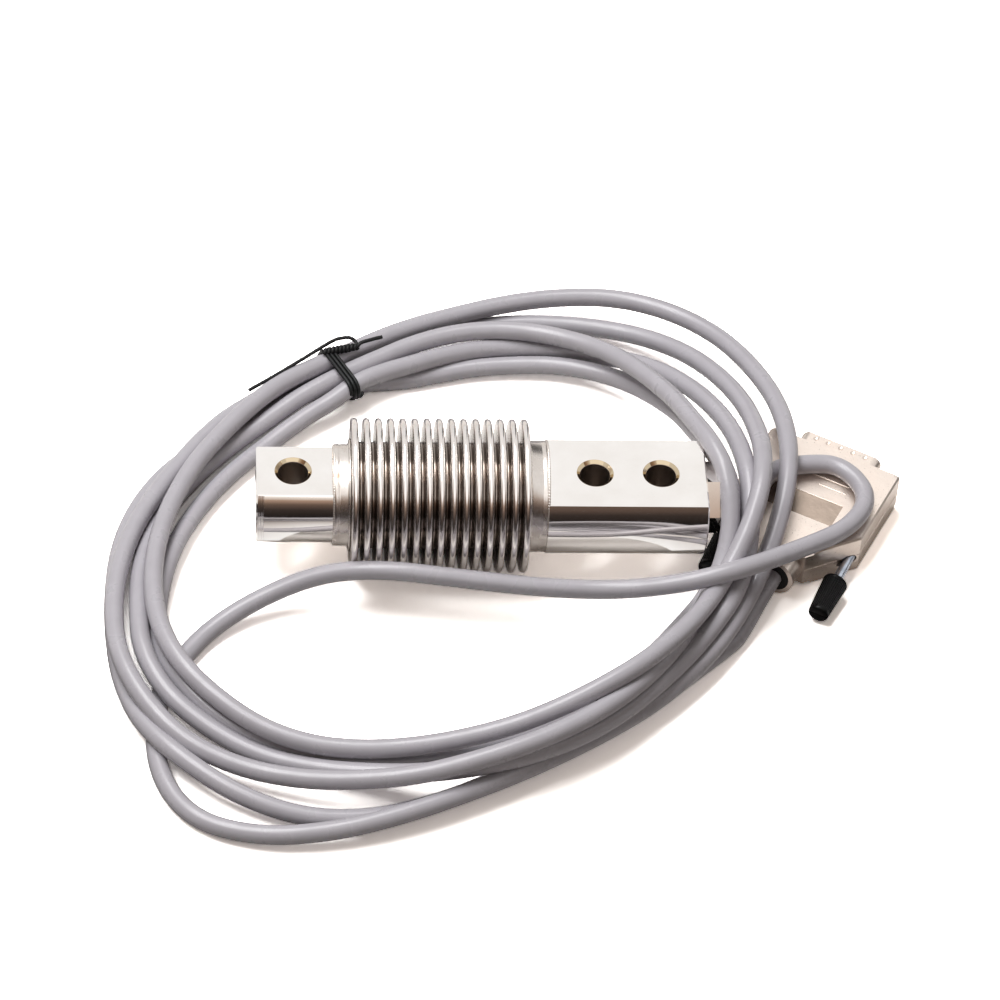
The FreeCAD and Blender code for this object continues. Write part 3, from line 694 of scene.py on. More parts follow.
@dataclass
class Studio:
    """Camera, white floor, soft overhead light, and the cards that the metal mirrors."""

    eye: Place = (-81.18, -872.42, 965.01)
    ahead: Place = (0.067149, 0.676540, -0.733338)
    right: Place = (0.997719, -0.040475, 0.054018)
    lens: float = 170.06
    sensor: float = 36.0
    box_place: Place = (-0.36, 0.24, 1.3)
    box_size: Pair = (1.2, 0.6)
    key_watts: float = 20.0
    fill: float = 0.22
    fill_tone: str = "#fff3ea"
    floor_half: float = 4.0
    cards: tuple[Card, ...] = (
        Card("front_flag", -172.0, -14.0, 0.055, 0.19, 0.17, (
            (0.0, "#ffffff"), (0.02, "#d0c9c6"), (0.04, "#7f7876"), (0.06, "#3f3a38"), (0.13, "#1b1817"),
            (0.19, "#382f2b"), (0.235, "#655349"), (0.275, "#ac907d"), (0.305, "#f4ebe3"))),
        Card("high_card", -140.0, -50.0, 0.259, 0.26, 0.9, ((0.0, "#ffffff"), (0.901, "#ffffff")), 1.4),
        Card("right_flag", -14.0, 24.0, 0.179, 0.18, 0.032, ((0.0, "#2a2523"), (0.033, "#4a403a"))),
        Card("gland_flag", 60.0, 71.0, 0.179, 0.18, 0.135, ((0.0, "#141212"), (0.136, "#1a1716"))),
    )

    def set_camera(self) -> None:
        """Place the camera where the photograph was taken."""
        data = bpy.data.cameras.new("camera")
        data.lens = self.lens
        data.sensor_width = self.sensor
        data.clip_end = 20.0
        camera = new_thing("camera", data)
        ahead = Vector(self.ahead).normalized()
        right = Vector(self.right)
        right = (right - ahead * right.dot(ahead)).normalized()
        turn = Matrix((right, right.cross(ahead), -ahead)).transposed().to_4x4()
        camera.matrix_world = Matrix.Translation(Vector(self.eye) * MM) @ turn
        bpy.context.scene.camera = camera

    def light(self) -> None:
        """Set the world and the overhead softbox."""
        scene = bpy.context.scene
        scene.view_settings.view_transform = "Standard"
        world = bpy.data.worlds.new("studio")
        scene.world = world
        world.use_nodes = True
        tree = world.node_tree
        path = add(tree, "ShaderNodeLightPath").outputs
        seen = path["Is Camera Ray"]
        for other in ("Is Glossy Ray", "Is Transmission Ray"):
            seen = maths(tree, "MAXIMUM", seen, path[other])
        tone = add(tree, "ShaderNodeMix", {0: seen, 6: linear(self.fill_tone), 7: WHITE},
                   data_type="RGBA").outputs[2]
        level = add(tree, "ShaderNodeMapRange",
                    {"Value": seen, "To Min": self.fill, "To Max": 1.0}).outputs[0]
        give(tree, tree.nodes["Background"], {"Color": tone, "Strength": level})
        lamp = bpy.data.lights.new("softbox", "AREA")
        lamp.shape = "RECTANGLE"
        lamp.size, lamp.size_y = self.box_size
        lamp.energy = self.key_watts
        place = Vector(self.box_place)
        aimed = place.to_track_quat("Z", "Y").to_matrix().to_4x4()
        new_thing("softbox", lamp).matrix_world = Matrix.Translation(place) @ aimed

    def stand(self) -> None:
        """Lay the white floor and stand the cards beside it."""
        form = bmesh.new()
        bmesh.ops.create_grid(form, x_segments=8, y_segments=8, size=self.floor_half)
        floor = new_thing("floor", to_mesh(form, "floor"))
        floor.data.materials.append(PaperSweep("white_paper_sweep", "#f6f4f2", "#f4f1ee", 0.0, (0.8, 0.9),
                                               300.0, 2.0, 0.002, 0.0).make())
        for thing in [floor, *(card.build() for card in self.cards)]:
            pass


def line_mesh(name: str, runs: Sequence[Sequence[Vector]]) -> Mesh:
    """Mesh of open lines.

    Args:
        name: the mesh's name.
        runs: points of each line, in millimetres.

    Returns:
        A mesh of edges only.
    """
    verts: list[tuple[float, ...]] = []
    edges: list[tuple[int, int]] = []
    for run in runs:
        edges += [(len(verts) + i, len(verts) + i + 1) for i in range(len(run) - 1)]
        verts += [tuple(c * MM for c in p) for p in run]
    mesh = bpy.data.meshes.new(name)
    mesh.from_pydata(verts, edges, [])
    return mesh


def wired(mesh: Mesh, radius: float, finish: Material) -> Mesh:
    """Draw a round wire along every line of a mesh.

    Args:
        mesh: the lines.
        radius: the wire's radius in millimetres.
        finish: the wire's material.

    Returns:
        The wires.
    """
    tree = ShapeTree("wire_along_lines", Radius="Float")
    path = tree.add("GeometryNodeMeshToCurve", {0: tree.given["Geometry"]})
    tree.close(tree.tube(path, tree.given["Radius"], 10))
    return tree.run(mesh, Radius=radius * MM, Finish=finish)


def carved(mesh: Mesh, tool: Mesh) -> Mesh:
    """Cut one mesh out of another.

    Args:
        mesh: what is cut.
        tool: the shape that is taken away.

    Returns:
        The cut mesh.
    """
    work, cutter = new_thing("work", mesh), new_thing("cutter", tool)
    cut = work.modifiers.new("cut", "BOOLEAN")
    cut.object = cutter
    cut.operation = "DIFFERENCE"
    cut.solver = "EXACT"
    done = settled(work)
    for thing in (work, cutter):
        bpy.data.objects.remove(thing)
    return done


@dataclass
class SignalCable:
    """Grey cable: from the gland over the hood, five and a third times round the cell, then into the hood."""

    radius: float = 2.625
    centre: Pair = (-11.0, 5.0)
    step: float = 9.0
    length: float = 3.2
    fineness: int = 12
    roundness: int = 7
    lead: tuple[Place, ...] = (
        (60.2, 0, 21), (67.5, 0, 21), (74.5, 0.5, 20.9), (81, 14.5, 16.6), (91, 18.2, 15.4),
        (101.5, 18, 15.3), (108.5, 6, 15.3), (101.5, -6, 15.3), (85.9, -16.5, 18), (69.7, -27.8, 22.8),
        (53.9, -30, 19.2), (36, -27.3, 13.1), (14, -27, 14), (-8, -25.8, 16.3), (-28, -23.9, 17.6),
        (-44, -21.1, 12.5), (-60, -24.4, 6.2), (-72.5, -32.2, 3.1), (-80.5, -42.5, 2.7), (-84.5, -51, 2.7))
    # Angle in degrees, radius and height of the cable's middle where these change, turn by turn. A program
    # worked most of them out: it kept the strands at their places in the picture and pushed them apart.
    turns: tuple[Place, ...] = (
        # First turn.
        (218.5, 96.6, 2.7), (219, 98.2, 2.7), (220, 101.1, 2.7), (227, 113.6, 2.7), (233, 120.9, 2.7),
        (238, 123.6, 2.7), (243, 122.1, 3.3), (250, 117.1, 4.4), (267, 102.1, 6.7), (274, 96.7, 6.8),
        (291, 88.9, 6.7), (300, 87.2, 6.8), (315, 86.7, 7), (331, 87.9, 8.2), (339, 89.1, 10.1),
        (357, 94.3, 18.6), (3, 96.5, 20.6), (8, 98.1, 20.9), (13, 99.7, 20), (27, 103.5, 15),
        (40, 105.2, 11.8), (51, 102.5, 10.2), (75, 85, 7.8), (84, 78.1, 7.6), (99, 70.2, 8.2),
        (112, 65.3, 8.5), (123, 63.8, 9.6), (134, 63.5, 10.5), (147, 64, 10.7), (171, 69.9, 10.6),
        (195, 80.2, 11.4), (206, 85.9, 12.3), (219, 91.1, 12.5),
        # Second turn.
        (234, 91.8, 9.8), (243, 90.8, 8.2), (257, 86.3, 8), (267, 83.3, 9.3), (278, 81.9, 12),
        (291, 82.2, 17), (301, 82.8, 20.4), (315, 82.7, 21.3), (326, 81.6, 18.3), (333, 81.4, 16.2),
        (339, 82.7, 17.9), (342, 83.9, 20.5), (349, 86.1, 26.6), (356, 87.6, 29.5), (3, 88.6, 28.5),
        (14, 90.4, 22.7), (27, 93.9, 14.9), (39, 95.6, 9.5), (51, 93.2, 5.9), (58, 90.1, 4.3),
        (75, 81.5, 2.9), (99, 70.6, 2.7), (123, 66.4, 4.4), (139, 66.5, 6.2), (147, 68, 7.4),
        (163, 71.9, 8.2), (171, 75.4, 8.3), (195, 90.4, 9.2), (206, 98, 9.9), (213, 102.6, 10.5),
        (219.2, 104.8, 9.9),
        # Third turn.
        (226.6, 106.7, 8.4), (236, 104.5, 5.8), (243, 102.5, 6.3), (254, 98.7, 8.6), (267, 95.6, 12.5),
        (277, 93, 15.9), (291, 89.1, 17), (315, 82.8, 16.2), (325, 80.3, 13.6), (332, 79.6, 11.6),
        (339, 80, 13), (346, 80.8, 20.9), (350, 80, 26.5), (354, 78.8, 30.2), (3, 74.6, 32), (14, 71.5, 29),
        (27, 72.1, 23), (34, 73.4, 19.5), (51, 76, 13.3), (64, 74.9, 10.6), (75, 72.3, 9.7), (99, 62.9, 8.6),
        (106, 60.4, 8.3), (123, 58, 7.9), (138, 58.8, 6.3), (147, 60.8, 5.4), (171, 71.2, 4.2),
        (185, 79.4, 5), (195, 84.3, 6.5), (208, 91.7, 9.8), (215, 97.2, 9.1), (219, 98.2, 8.3),
        # Fourth turn.
        (243, 95.6, 3.4), (252, 92.9, 4.9), (267, 92.1, 8.3), (277, 91.8, 10.9), (291, 89.9, 12),
        (305, 86.8, 11.8), (315, 84.9, 11.7), (322, 84.6, 11.5), (329, 84.9, 12.2), (339, 86.5, 14.6),
        (352, 85.4, 23.1), (357, 84.5, 25.7), (3, 83.6, 26), (12, 83.5, 23.1), (27, 84.8, 15),
        (35, 85.3, 11.2), (41, 84.8, 8.8), (51, 81.5, 5.7), (60, 77, 4.6), (75, 68.7, 5.8), (99, 56.6, 8.1),
        (112, 54, 8.8), (123, 51.9, 7), (138, 53.1, 5.2), (147, 54.6, 4), (171, 63.6, 3.6), (195, 77.3, 5.7),
        (203, 83.1, 5.8), (209, 88.6, 6.1), (219, 92.1, 7.5),
        # Fifth turn.
        (229, 92.9, 5.1), (243, 90, 3), (267, 83.8, 2.8), (276, 80, 3.3), (291, 76.3, 2.8), (315, 73.2, 2.7),
        (331, 75, 4.3), (339, 78.4, 7.3), (344, 80.4, 11.4), (348, 81, 16.6), (353, 80.4, 23.5),
        (358, 79.1, 26.7), (3, 76.8, 26.3), (13, 74.3, 21.7), (27, 75.7, 14.2), (39, 76, 8.9),
        (51, 73.7, 5.9), (75, 63.2, 3.5), (99, 56.3, 2.7), (123, 61, 3.4), (136, 62.4, 2.8),
        (147, 65.6, 2.7), (157, 71.3, 3.3), (171, 79.7, 3.6), (187, 87.9, 3.2), (195, 91.4, 3.2),
        (210.9, 101, 3.9), (215.7, 105, 4.3), (218.4, 107.7, 4.8), (220.9, 108.8, 5.6), (226.2, 109.6, 7.5),
        # Last turn.
        (235.9, 111.7, 6.6), (243, 111.7, 4.8), (257, 106.2, 2.7), (267, 98.6, 2.7), (291, 84.9, 3.1),
        (300, 83.8, 2.8), (315, 84.2, 2.7), (326, 86.2, 2.7), (331, 88.6, 2.7),
    )
    tail: tuple[Place, ...] = ((70, -34.5, 2.8), (78.2, -19.35, 6.1), (86.58, -4.22, 6.3))

    def stations(self) -> list[Place]:
        """Give the places an angle that only grows.

        Returns:
            Angle in degrees, radius and height at each place.
        """
        joined = []
        for angle, radius, height in self.turns:
            while joined and angle <= joined[-1][0]:
                angle += 360
            joined.append((angle, radius, height))
        return joined

    @staticmethod
    def slopes(xs: Sequence[float], ys: Sequence[float]) -> list[float]:
        """Slopes of a smooth line through stations that never swings past them.

        Args:
            xs: growing places.
            ys: values there.

        Returns:
            The line's slope at each place.
        """
        steps = [b - a for a, b in zip(xs, xs[1:])]
        rates = [(b - a) / s for a, b, s in zip(ys, ys[1:], steps)]
        found = [rates[0]]
        for i in range(1, len(rates)):
            before, after = rates[i - 1], rates[i]
            if before * after <= 0:
                found.append(0.0)
            else:
                w0 = 2 * steps[i] + steps[i - 1]
                w1 = steps[i] + 2 * steps[i - 1]
                found.append((w0 + w1) / (w0 / before + w1 / after))
        found.append(rates[-1])
        return found

    def coil(self) -> list[Place]:
        """Work out the control points of the turns.

        Returns:
            Points in millimetres, one for each step of angle.
        """
        places = self.stations()
        xs = [p[0] for p in places]
        lines = [([p[k] for p in places], self.slopes(xs, [p[k] for p in places])) for k in (1, 2)]
        count = round((xs[-1] - xs[0]) / self.step)
        swell = 1 / math.cos(math.radians(self.step / 2))
        points = []
        at = 0
        for i in range(count + 1):
            angle = xs[0] + (xs[-1] - xs[0]) * i / count
            while at < len(xs) - 2 and angle > xs[at + 1]:
                at += 1
            gap = xs[at + 1] - xs[at]
            t = (angle - xs[at]) / gap
            radius, height = (
                (2 * t ** 3 - 3 * t ** 2 + 1) * ys[at] + (t ** 3 - 2 * t ** 2 + t) * gap * ms[at]
                + (3 * t ** 2 - 2 * t ** 3) * ys[at + 1] + (t ** 3 - t ** 2) * gap * ms[at + 1]
                for ys, ms in lines)
            turn = math.radians(angle)
            points.append((self.centre[0] + radius * swell * math.cos(turn),
                           self.centre[1] + radius * swell * math.sin(turn), height))
        return points

    def build(self, palette: Palette) -> Thing:
        """Lay the cable.

        Args:
            palette: finishes.

        Returns:
            The cable, a curve.
        """
        route = (*self.lead, *self.coil(), *self.tail)
        curve = bpy.data.curves.new("signal_cable", "CURVE")
        curve.dimensions = "3D"
        spline = curve.splines.new("NURBS")
        spline.points.add(len(route) - 1)
        for point, (x, y, z) in zip(spline.points, route):
            point.co = (x * MM, y * MM, z * MM, 1.0)
        spline.order_u = 3
        spline.use_endpoint_u = True
        spline.resolution_u = self.fineness
        curve.resolution_u = self.fineness
        curve.bevel_depth = self.radius * MM
        curve.bevel_resolution = self.roundness
        curve.use_fill_caps = True
        curve.materials.append(palette.materials[Slot.CABLE])
        cable = new_thing("signal_cable", curve)
        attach(cable, Body.CELL.value)
        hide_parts("cable_lead", "cable_coil", "cable_tail")
        LOG.info("cable laid over %d points", len(route))
        return cable

    def middle_line(self, cable: Thing) -> list[Vector]:
        """Read the cable's middle line from its spline.

        Args:
            cable: the laid cable.

        Returns:
            Points along it, in millimetres.
        """
        bare = new_thing("middle_line", cable.data.copy())
        bare.data.bevel_depth = 0.0
        mesh = settled(bare)
        points = [v.co / MM for v in mesh.vertices]
        bpy.data.objects.remove(bare)
        bpy.data.meshes.remove(mesh)
        return points


@dataclass
class WireTie:
    """Black coated wire, wound round the bundle and twisted on top of it."""

    angle: float = 116.0
    lean: float = 4.0
    wire: float = 0.55
    turns: int = 3
    pitch: float = 1.12
    knot: tuple[Place, ...] = ((-41.6, 62.7, 12.4), (-32.0, 65.0, 12.5))
    knot_radius: float = 0.75
    knot_turns: float = 4.5
    knot_steps: int = 72
    girth_steps: int = 40
    bend_steps: int = 8
    long_tail: tuple[Place, ...] = (
        (-32.0, 65.0, 12.5), (-32.6, 66.6, 13.0), (-34.0, 67.4, 13.5), (-36.0, 67.3, 13.6),
        (-39.2, 66.1, 13.4), (-46.7, 60.5, 12.6), (-54.7, 54.7, 11.6), (-62.7, 49.1, 10.8))
    short_tail: tuple[Place, ...] = (
        (-32.0, 65.0, 12.5), (-31.0, 65.9, 13.1), (-28.4, 66.9, 13.3), (-25.0, 68.4, 13.0))

    def strands(self, line: Sequence[Vector], centre: Sequence[float]) -> list[Pair]:
        """Find where the cable passes through the tie.

        Args:
            line: the cable's middle line.
            centre: middle of the coil.

        Returns:
            Radius and height of each strand.
        """
        found = []
        for a, b in zip(line, line[1:]):
            turns = [(math.degrees(math.atan2(p.y - centre[1], p.x - centre[0]))
                      - self.angle + 180) % 360 - 180
                     for p in (a, b)]
            if turns[0] <= 0 < turns[1] < 60:
                p = a.lerp(b, -turns[0] / (turns[1] - turns[0]))
                found.append((math.hypot(p.x - centre[0], p.y - centre[1]), p.z))
        return found

    def girth(self, strands: Sequence[Pair], reach: float) -> list[Pair]:
        """Tight line round the strands.

        Args:
            strands: radius and height of each strand.
            reach: how far the line stays from a strand's middle.

        Returns:
            Corners of the line, in order.
        """
        dots = sorted({(round(r + reach * math.cos(t), 4), round(max(z + reach * math.sin(t), self.wire), 4))
                       for r, z in strands
                       for t in (math.tau * i / self.girth_steps for i in range(self.girth_steps))})
        sides = []
        for run in (dots, dots[::-1]):
            side = []
            for p in run:
                while len(side) > 1 and ((side[-1][0] - side[-2][0]) * (p[1] - side[-2][1])
                                         - (side[-1][1] - side[-2][1]) * (p[0] - side[-2][0])) <= 0:
                    side.pop()
                side.append(p)
            sides += side[:-1]
        return sides

    def build(self, palette: Palette, line: Sequence[Vector], cable: SignalCable) -> Thing:
        """Wind the tie.

        Args:
            palette: finishes.
            line: the cable's middle line.
            cable: the cable that it holds.

        Returns:
            The tie.
        """
        corners = self.girth(self.strands(line, cable.centre), cable.radius + self.wire)
        runs = [self.winding(corners, cable.centre)]
        runs += self.twist()
        runs += [self.bent(self.long_tail), self.bent(self.short_tail)]
        finish = palette.materials[Slot.WIRE]
        shape = wired(line_mesh("tie_wire", runs), self.wire, finish)
        return new_piece("wire_tie", shape, Body.CELL, finish, ["cable_tie"])

    def winding(self, corners: Sequence[Pair], centre: Sequence[float]) -> list[Vector]:
        """Turns of wire round the bundle, leaning a little.

        Args:
            corners: line round the strands.
            centre: middle of the coil.

        Returns:
            Points of the wire.
        """
        turn = math.radians(self.angle)
        out = Vector((math.cos(turn), math.sin(turn), 0.0))
        along = Vector((-math.sin(turn), math.cos(turn), 0.0))
        middle = sum(r for r, _ in corners) / len(corners)
        points = []
        for lap in range(self.turns):
            for i, (r, z) in enumerate(corners):
                share = lap + i / len(corners) - self.turns / 2
                shift = share * self.pitch + (r - middle) * math.tan(math.radians(self.lean))
                points.append(Vector((*centre, 0.0)) + out * r + along * shift + Vector((0, 0, z)))
        return points

    def twist(self) -> list[list[Vector]]:
        """Two wires twisted round each other.

        Returns:
            Points of both wires.
        """
        a, b = (Vector(p) for p in self.knot)
        axis = (b - a).normalized()
        side = axis.cross(Vector((0, 0, 1))).normalized()
        up = side.cross(axis)
        wires = []
        for start in (0.0, math.pi):
            wire = []
            for i in range(self.knot_steps + 1):
                share = i / self.knot_steps
                turn = start + math.tau * self.knot_turns * share
                swell = self.knot_radius * (0.75 + 0.25 * math.sin(math.pi * share))
                wire.append(a.lerp(b, share) + (side * math.cos(turn) + up * math.sin(turn)) * swell)
            wires.append(wire)
        return wires

    def bent(self, corners: Sequence[Place]) -> list[Vector]:
        """Smooth wire through a few given places.

        Args:
            corners: the places.

        Returns:
            Points of the wire.
        """
        places = [Vector(c) for c in corners]
        places = [places[0] * 2 - places[1], *places, places[-1] * 2 - places[-2]]
        points = []
        for p0, p1, p2, p3 in zip(places, places[1:], places[2:], places[3:]):
            for t in (i / self.bend_steps for i in range(self.bend_steps)):
                points.append(0.5 * (2 * p1 + (p2 - p0) * t + (2 * p0 - 5 * p1 + 4 * p2 - p3) * t * t
                                     + (3 * p1 - p0 - 3 * p2 + p3) * t ** 3))
        points.append(places[-2])
        return points


@dataclass
class Bellows:
    """Fifteen rolled folds between two plain cuffs, each cuff welded to the beam."""

    crest: float = 21.0
    root: float = 14.5
    wall: float = 0.25
    pitch: float = 3.31
    folds: int = 15
    first_x: float = -34.7
    left_cuff: float = 13.85
    right_cuff: float = 15.2
    left_x: float = -40.2
    right_x: float = 17.7
    sides: int = 128
    outer_steps: int = 12
    inner_steps: int = 6
    # Cuff profiles, from the cuff's end or from the last root and from the cuff's radius.
    left_rim: tuple[Pair, ...] = ((0, -0.9), (0, -0.1), (0.12, 0.02), (1.2, 0.05), (1.45, -0.12), (1.7, 0))
    left_flare: tuple[Pair, ...] = ((-0.3, 0), (0.25, 0.25), (0.55, 0.8), (0.62, 1.6), (0.2, 1.6), (0, -0.9))
    right_flare: tuple[Pair, ...] = ((0, -0.9), (-0.2, 0.6), (-0.6, 0.9), (-0.4, 0.35), (0.1, 0))
    right_rim: tuple[Pair, ...] = ((-1.6, 0), (-1.35, -0.12), (-1.1, 0.04), (-0.1, 0.04), (0, -0.06),
                                   (0, -0.9))
    ripples: int = 120
    ripple_size: Place = (0.34, 0.22, 0.62)
    ripple_lean: float = 0.35

    def fold_profile(self, inset: float, steps: int) -> list[Pair]:
        """One fold from root to root.

        Args:
            inset: depth below the outer face.
            steps: steps of each half turn.

        Returns:
            Places along X and radii.
        """
        bend = self.pitch / 4
        out = bend + self.wall / 2 - inset
        inn = bend - self.wall / 2 + inset
        crest_middle = self.crest - self.wall / 2 - bend
        root_middle = self.root - self.wall / 2 + bend
        half = []
        for i in range(steps // 2 + 1):
            turn = math.radians(270 + 90 * i / (steps // 2))
            half.append((-2 * bend + inn * math.cos(turn), root_middle + inn * math.sin(turn)))
        for i in range(steps // 2 + 1):
            turn = math.radians(180 - 90 * i / (steps // 2))
            half.append((out * math.cos(turn), crest_middle + out * math.sin(turn)))
        return half + [(-x, r) for x, r in half[-2::-1]]

    def build(self, palette: Palette) -> None:
        """Roll the folds and add the cuffs and their welds.

        Args:
            palette: finishes.
        """
        fold = lathe(self.fold_profile(0.0, self.outer_steps), self.sides)
        inner = lathe(self.fold_profile(self.wall, self.inner_steps)[::-1], self.sides)
        piece = bpy.data.meshes.new("fold")
        inner.to_mesh(piece)
        inner.free()
        fold.from_mesh(piece)
        fold.to_mesh(piece)
        fold.free()
        tree = ShapeTree("row_of_folds", Folds="Int", First="Vector", Pitch="Vector")
        row = tree.add("GeometryNodeMeshLine",
                       {"Count": tree.given["Folds"], "Start Location": tree.given["First"],
                                                "Offset": tree.given["Pitch"]}, mode="OFFSET")
        tree.close(tree.copies(row, tree.given["Geometry"]))
        finish = palette.materials[Slot.BELLOWS]
        shape = tree.run(piece, Folds=self.folds, First=(self.first_x * MM, 0.0, AXIS_Z * MM),
                         Pitch=(self.pitch * MM, 0.0, 0.0), Finish=finish)
        new_piece("bellows_folds", shape, Body.CELL, finish, ["bellows"])
        first_root = self.first_x - self.pitch / 2
        last_root = first_root + self.folds * self.pitch
        place = Matrix.Translation((0, 0, AXIS_Z * MM))
        for name, radius, lines in (
                ("cuff_left", self.left_cuff, ((self.left_x, self.left_rim), (first_root, self.left_flare))),
                ("cuff_right", self.right_cuff,
                 ((last_root, self.right_flare), (self.right_x, self.right_rim)))):
            profile = [(start + x, radius + r) for start, line in lines for x, r in line]
            mesh = to_mesh(lathe(profile, self.sides, True), name, place)
            new_piece(name, mesh, Body.CELL, palette.cuff)
        self.weld(palette, "weld_left", self.left_x, self.left_cuff - 0.25)
        self.weld(palette, "weld_right", self.right_x + 0.05, self.right_cuff)

    def weld(self, palette: Palette, name: str, x: float, radius: float) -> None:
        """Run a rippled weld round the beam.

        Args:
            palette: finishes.
            name: name of the weld.
            x: place along the beam.
            radius: radius of the weld's middle.
        """
        tree = ShapeTree("weld_ripples", Ripples="Int", Radius="Float", Along="Float", Height="Float")
        given = tree.given
        turn = tree.turns(given["Ripples"])
        side, up = (maths(tree.tree, "MULTIPLY", maths(tree.tree, kind, turn), given["Radius"])
                    for kind in ("COSINE", "SINE"))
        lifted = maths(tree.tree, "ADD", up, given["Height"])
        spot = tree.add("ShaderNodeCombineXYZ", {0: given["Along"], 1: side, 2: lifted})
        points = tree.add("GeometryNodePoints", {"Count": given["Ripples"], "Position": spot})
        lean = tree.add("ShaderNodeCombineXYZ", {0: turn, 1: 0.0, 2: self.ripple_lean})
        lean = tree.add("FunctionNodeEulerToRotation", {0: lean})
        tree.close(tree.copies(points, given["Geometry"], Rotation=lean))
        form = bmesh.new()
        bmesh.ops.create_icosphere(form, subdivisions=2, radius=1.0)
        form.transform(Matrix.Diagonal((*(c * MM for c in self.ripple_size), 1.0)))
        shape = tree.run(to_mesh(form, name), Ripples=self.ripples, Radius=radius * MM, Along=x * MM,
                         Height=AXIS_Z * MM, Finish=palette.cuff)
        new_piece(name, shape, Body.CELL, palette.cuff)


@dataclass(frozen=True)
class PlugAxes:
    """Axes of the plug: u across it, m out of its mouth, z up."""

    origin: Pair = (100.35, 24.74)
    turn: float = -29.0

    def point(self, u: float, m: float, z: float) -> Vector:
        """World place of a point of the plug.

        Args:
            u: millimetres across.
            m: millimetres towards the mouth.
            z: height in millimetres.

        Returns:
            The place in metres.
        """
        turn = math.radians(self.turn)
        return Vector((self.origin[0] + u * math.cos(turn) - m * math.sin(turn),
                       self.origin[1] + u * math.sin(turn) + m * math.cos(turn), z)) * MM


@dataclass
class HoodCasting:
    """Marks of the casting on the hood: ragged parting line, raised ribs and the lip over the ramp."""

    axes: PlugAxes = PlugAxes()
    middle: float = 6.3
    top: float = 12.6
    half_width: float = 19.57
    side_end: float = -25.7
    shoulder: Pair = (8.7, -39.0)
    seam_size: float = 0.16
    seam_step: float = 0.3
    # Start and end across the plug of each rib, and its distance behind the flange.
    ribs: tuple[Place, ...] = ((-2.4, 9.0, -10.0), (1.0, 9.0, -12.8), (-10.2, 10.2, -17.35))
    rib_radius: float = 0.14

    def build(self, palette: Palette) -> None:
        """Add the casting's marks.

        Args:
            palette: finishes.
        """
        finish = palette.materials[Slot.NICKEL]
        wide, deep = self.half_width, self.side_end
        u, m = self.shoulder
        runs = []
        for side in (-1, 1):
            runs.append([(side * wide, -1.0), (side * wide, deep), (side * (wide - 0.4), deep - 0.5)])
            runs.append([(side * (wide - 4.6), deep - 4.6 * (deep - m) / (wide - u)),
                         (side * (u + 0.3), m + 0.37)])
        seam = self.lines("parting_line", [[(a, b, self.middle) for a, b in run] for run in runs])
        tree = ShapeTree("ragged_line", Step="Float", Size="Float")
        path = tree.add("GeometryNodeMeshToCurve", {0: tree.given["Geometry"]})
        path = tree.add("GeometryNodeResampleCurve", {"Curve": path, "Length": tree.given["Step"]},
                        mode="LENGTH")
        crumb = tree.add("GeometryNodeMeshIcoSphere", {"Radius": tree.given["Size"], "Subdivisions": 2})
        size = tree.add("FunctionNodeRandomValue",
                        {"Min": (0.5, 0.5, 0.3), "Max": (1.9, 1.9, 1.2), "Seed": 7},
                        data_type="FLOAT_VECTOR")
        tree.close(tree.copies(path, crumb, Scale=size))
        shape = tree.run(seam, Step=self.seam_step * MM, Size=self.seam_size * MM, Finish=finish)
        new_piece("hood_parting_line", shape, Body.CELL, finish)
        ribs = self.lines("ribs", [[(a, m, self.top), (b, m, self.top)] for a, b, m in self.ribs])
        new_piece("hood_ribs", wired(ribs, self.rib_radius, finish), Body.CELL, finish)

    def lines(self, name: str, runs: Sequence[Sequence[Place]]) -> Mesh:
        """Mesh of lines in the plug's axes.

        Args:
            name: the mesh's name.
            runs: corners of each line.

        Returns:
            A mesh of edges only.
        """
        return line_mesh(name, [[self.axes.point(*corner) / MM for corner in run] for run in runs])


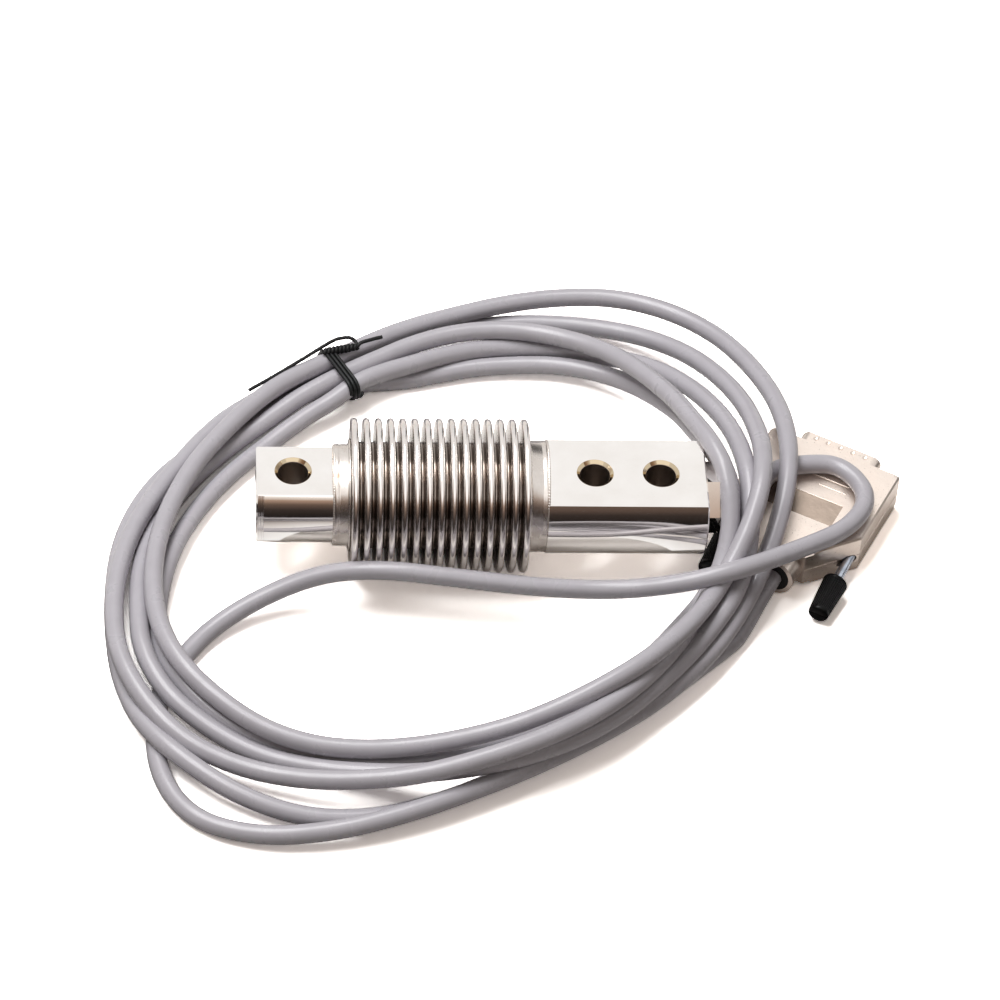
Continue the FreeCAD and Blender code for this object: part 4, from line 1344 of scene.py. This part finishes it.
@dataclass
class ThumbKnob:
    """Tapered black knob of a thumbscrew: smooth lip, fine lengthwise ridges, smooth slotted end."""

    axes: PlugAxes = PlugAxes()
    across: float = 16.66
    middle: float = 6.3
    lean: float = 1.5
    droop: float = 2.6
    start: float = 37.0
    end: float = 50.0
    front_radius: float = 3.5
    rear_radius: float = 2.9
    relief: float = 0.28
    lip: float = 0.8
    band: float = 1.5
    slot_width: float = 0.8
    slot_depth: float = 0.7
    ridges: int = 32
    ridge_radius: float = 0.3
    sides: int = 96

    def axis_point(self, side: int, reach: float) -> Vector:
        """Point on a screw's axis.

        Args:
            side: -1 for the left screw, 1 for the right.
            reach: distance behind the flange.

        Returns:
            The point in metres.
        """
        u = side * self.across + reach * math.tan(math.radians(self.lean))
        return self.axes.point(u, -reach, self.middle - reach * math.tan(math.radians(self.droop)))

    def body(self, length: float) -> Mesh:
        """Turn the knob's body and cut its slot.

        Args:
            length: the knob's length in millimetres.

        Returns:
            The body along X from 0.
        """
        front, rear, low = self.front_radius, self.rear_radius, self.relief
        profile = [(0.0, 1.35), (0.0, front - 0.35), (0.12, front - 0.1), (0.35, front),
                   (self.lip - 0.15, front), (self.lip, front - 0.08), (self.lip + 0.2, front - low),
                   (length - self.band - 0.2, rear - 0.6 * low), (length - self.band, rear - 0.02),
                   (length - 0.55, rear - 0.06), (length - 0.25, rear - 0.22), (length - 0.07, rear - 0.5),
                   (length, rear - 0.85), (length, 0.0)]
        mesh = to_mesh(lathe(profile, self.sides), "knob_body")
        form = bmesh.new()
        bmesh.ops.create_cube(form, size=1.0)
        form.transform(Matrix.Translation((length * MM, 0, 0))
                       @ Matrix.Diagonal((2 * self.slot_depth * MM, 4 * rear * MM, self.slot_width * MM,
                                          1.0)))
        return carved(mesh, to_mesh(form, "slot"))

    def ridge_tree(self) -> ShapeTree:
        """Tree that sets ridges round the X axis and joins them to a body.

        Returns:
            The tree.
        """
        tree = ShapeTree("ridges_round_axis", Ridges="Int", From="Vector", To="Vector", Width="Float")
        given = tree.given
        run = tree.add("GeometryNodeCurvePrimitiveLine", {"Start": given["From"], "End": given["To"]})
        ridge = tree.tube(run, given["Width"], 8)
        turn = tree.add("ShaderNodeCombineXYZ", {0: tree.turns(given["Ridges"])})
        round_axis = tree.add("FunctionNodeEulerToRotation", {0: turn})
        points = tree.add("GeometryNodePoints", {"Count": given["Ridges"]})
        rows = tree.copies(points, ridge, Rotation=round_axis)
        both = add(tree.tree, "GeometryNodeJoinGeometry", {0: rows})
        tree.tree.links.new(given["Geometry"], both.inputs[0])
        tree.close(both.outputs[0])
        return tree

    def build(self, palette: Palette) -> None:
        """Put a knob on both screws.

        Args:
            palette: finishes.
        """
        tree = self.ridge_tree()
        finish = palette.materials[Slot.PLASTIC]
        for side, body, node in ((-1, Body.LEFT_SCREW, "thumbscrew_knob_left"),
                                 (1, Body.RIGHT_SCREW, "thumbscrew_knob_right")):
            a, b = self.axis_point(side, self.start), self.axis_point(side, self.end)
            length = (b - a).length / MM
            half = self.ridge_radius
            shape = tree.run(self.body(length), Ridges=self.ridges, Width=half * MM, Finish=finish,
                             From=((self.lip + 0.1) * MM, 0.0, (self.front_radius - half) * MM),
                             To=((length - self.band) * MM, 0.0, (self.rear_radius - half) * MM))
            shape.transform(Matrix.Translation(a) @ (b - a).to_track_quat("X", "Z").to_matrix().to_4x4())
            new_piece("ridged_" + node, shape, body, finish, [node])


def main() -> None:
    """Build the scene in order."""
    logging.basicConfig(level=logging.INFO, format="%(message)s")
    studio = Studio()
    studio.set_camera()
    palette = Palette()
    cable = SignalCable()
    laid = cable.build(palette)
    WireTie().build(palette, cable.middle_line(laid), cable)
    Bellows().build(palette)
    HoodCasting().build(palette)
    ThumbKnob().build(palette)
    palette.dress_nodes()
    studio.light()
    studio.stand()


if __name__ == "__main__":
    main()
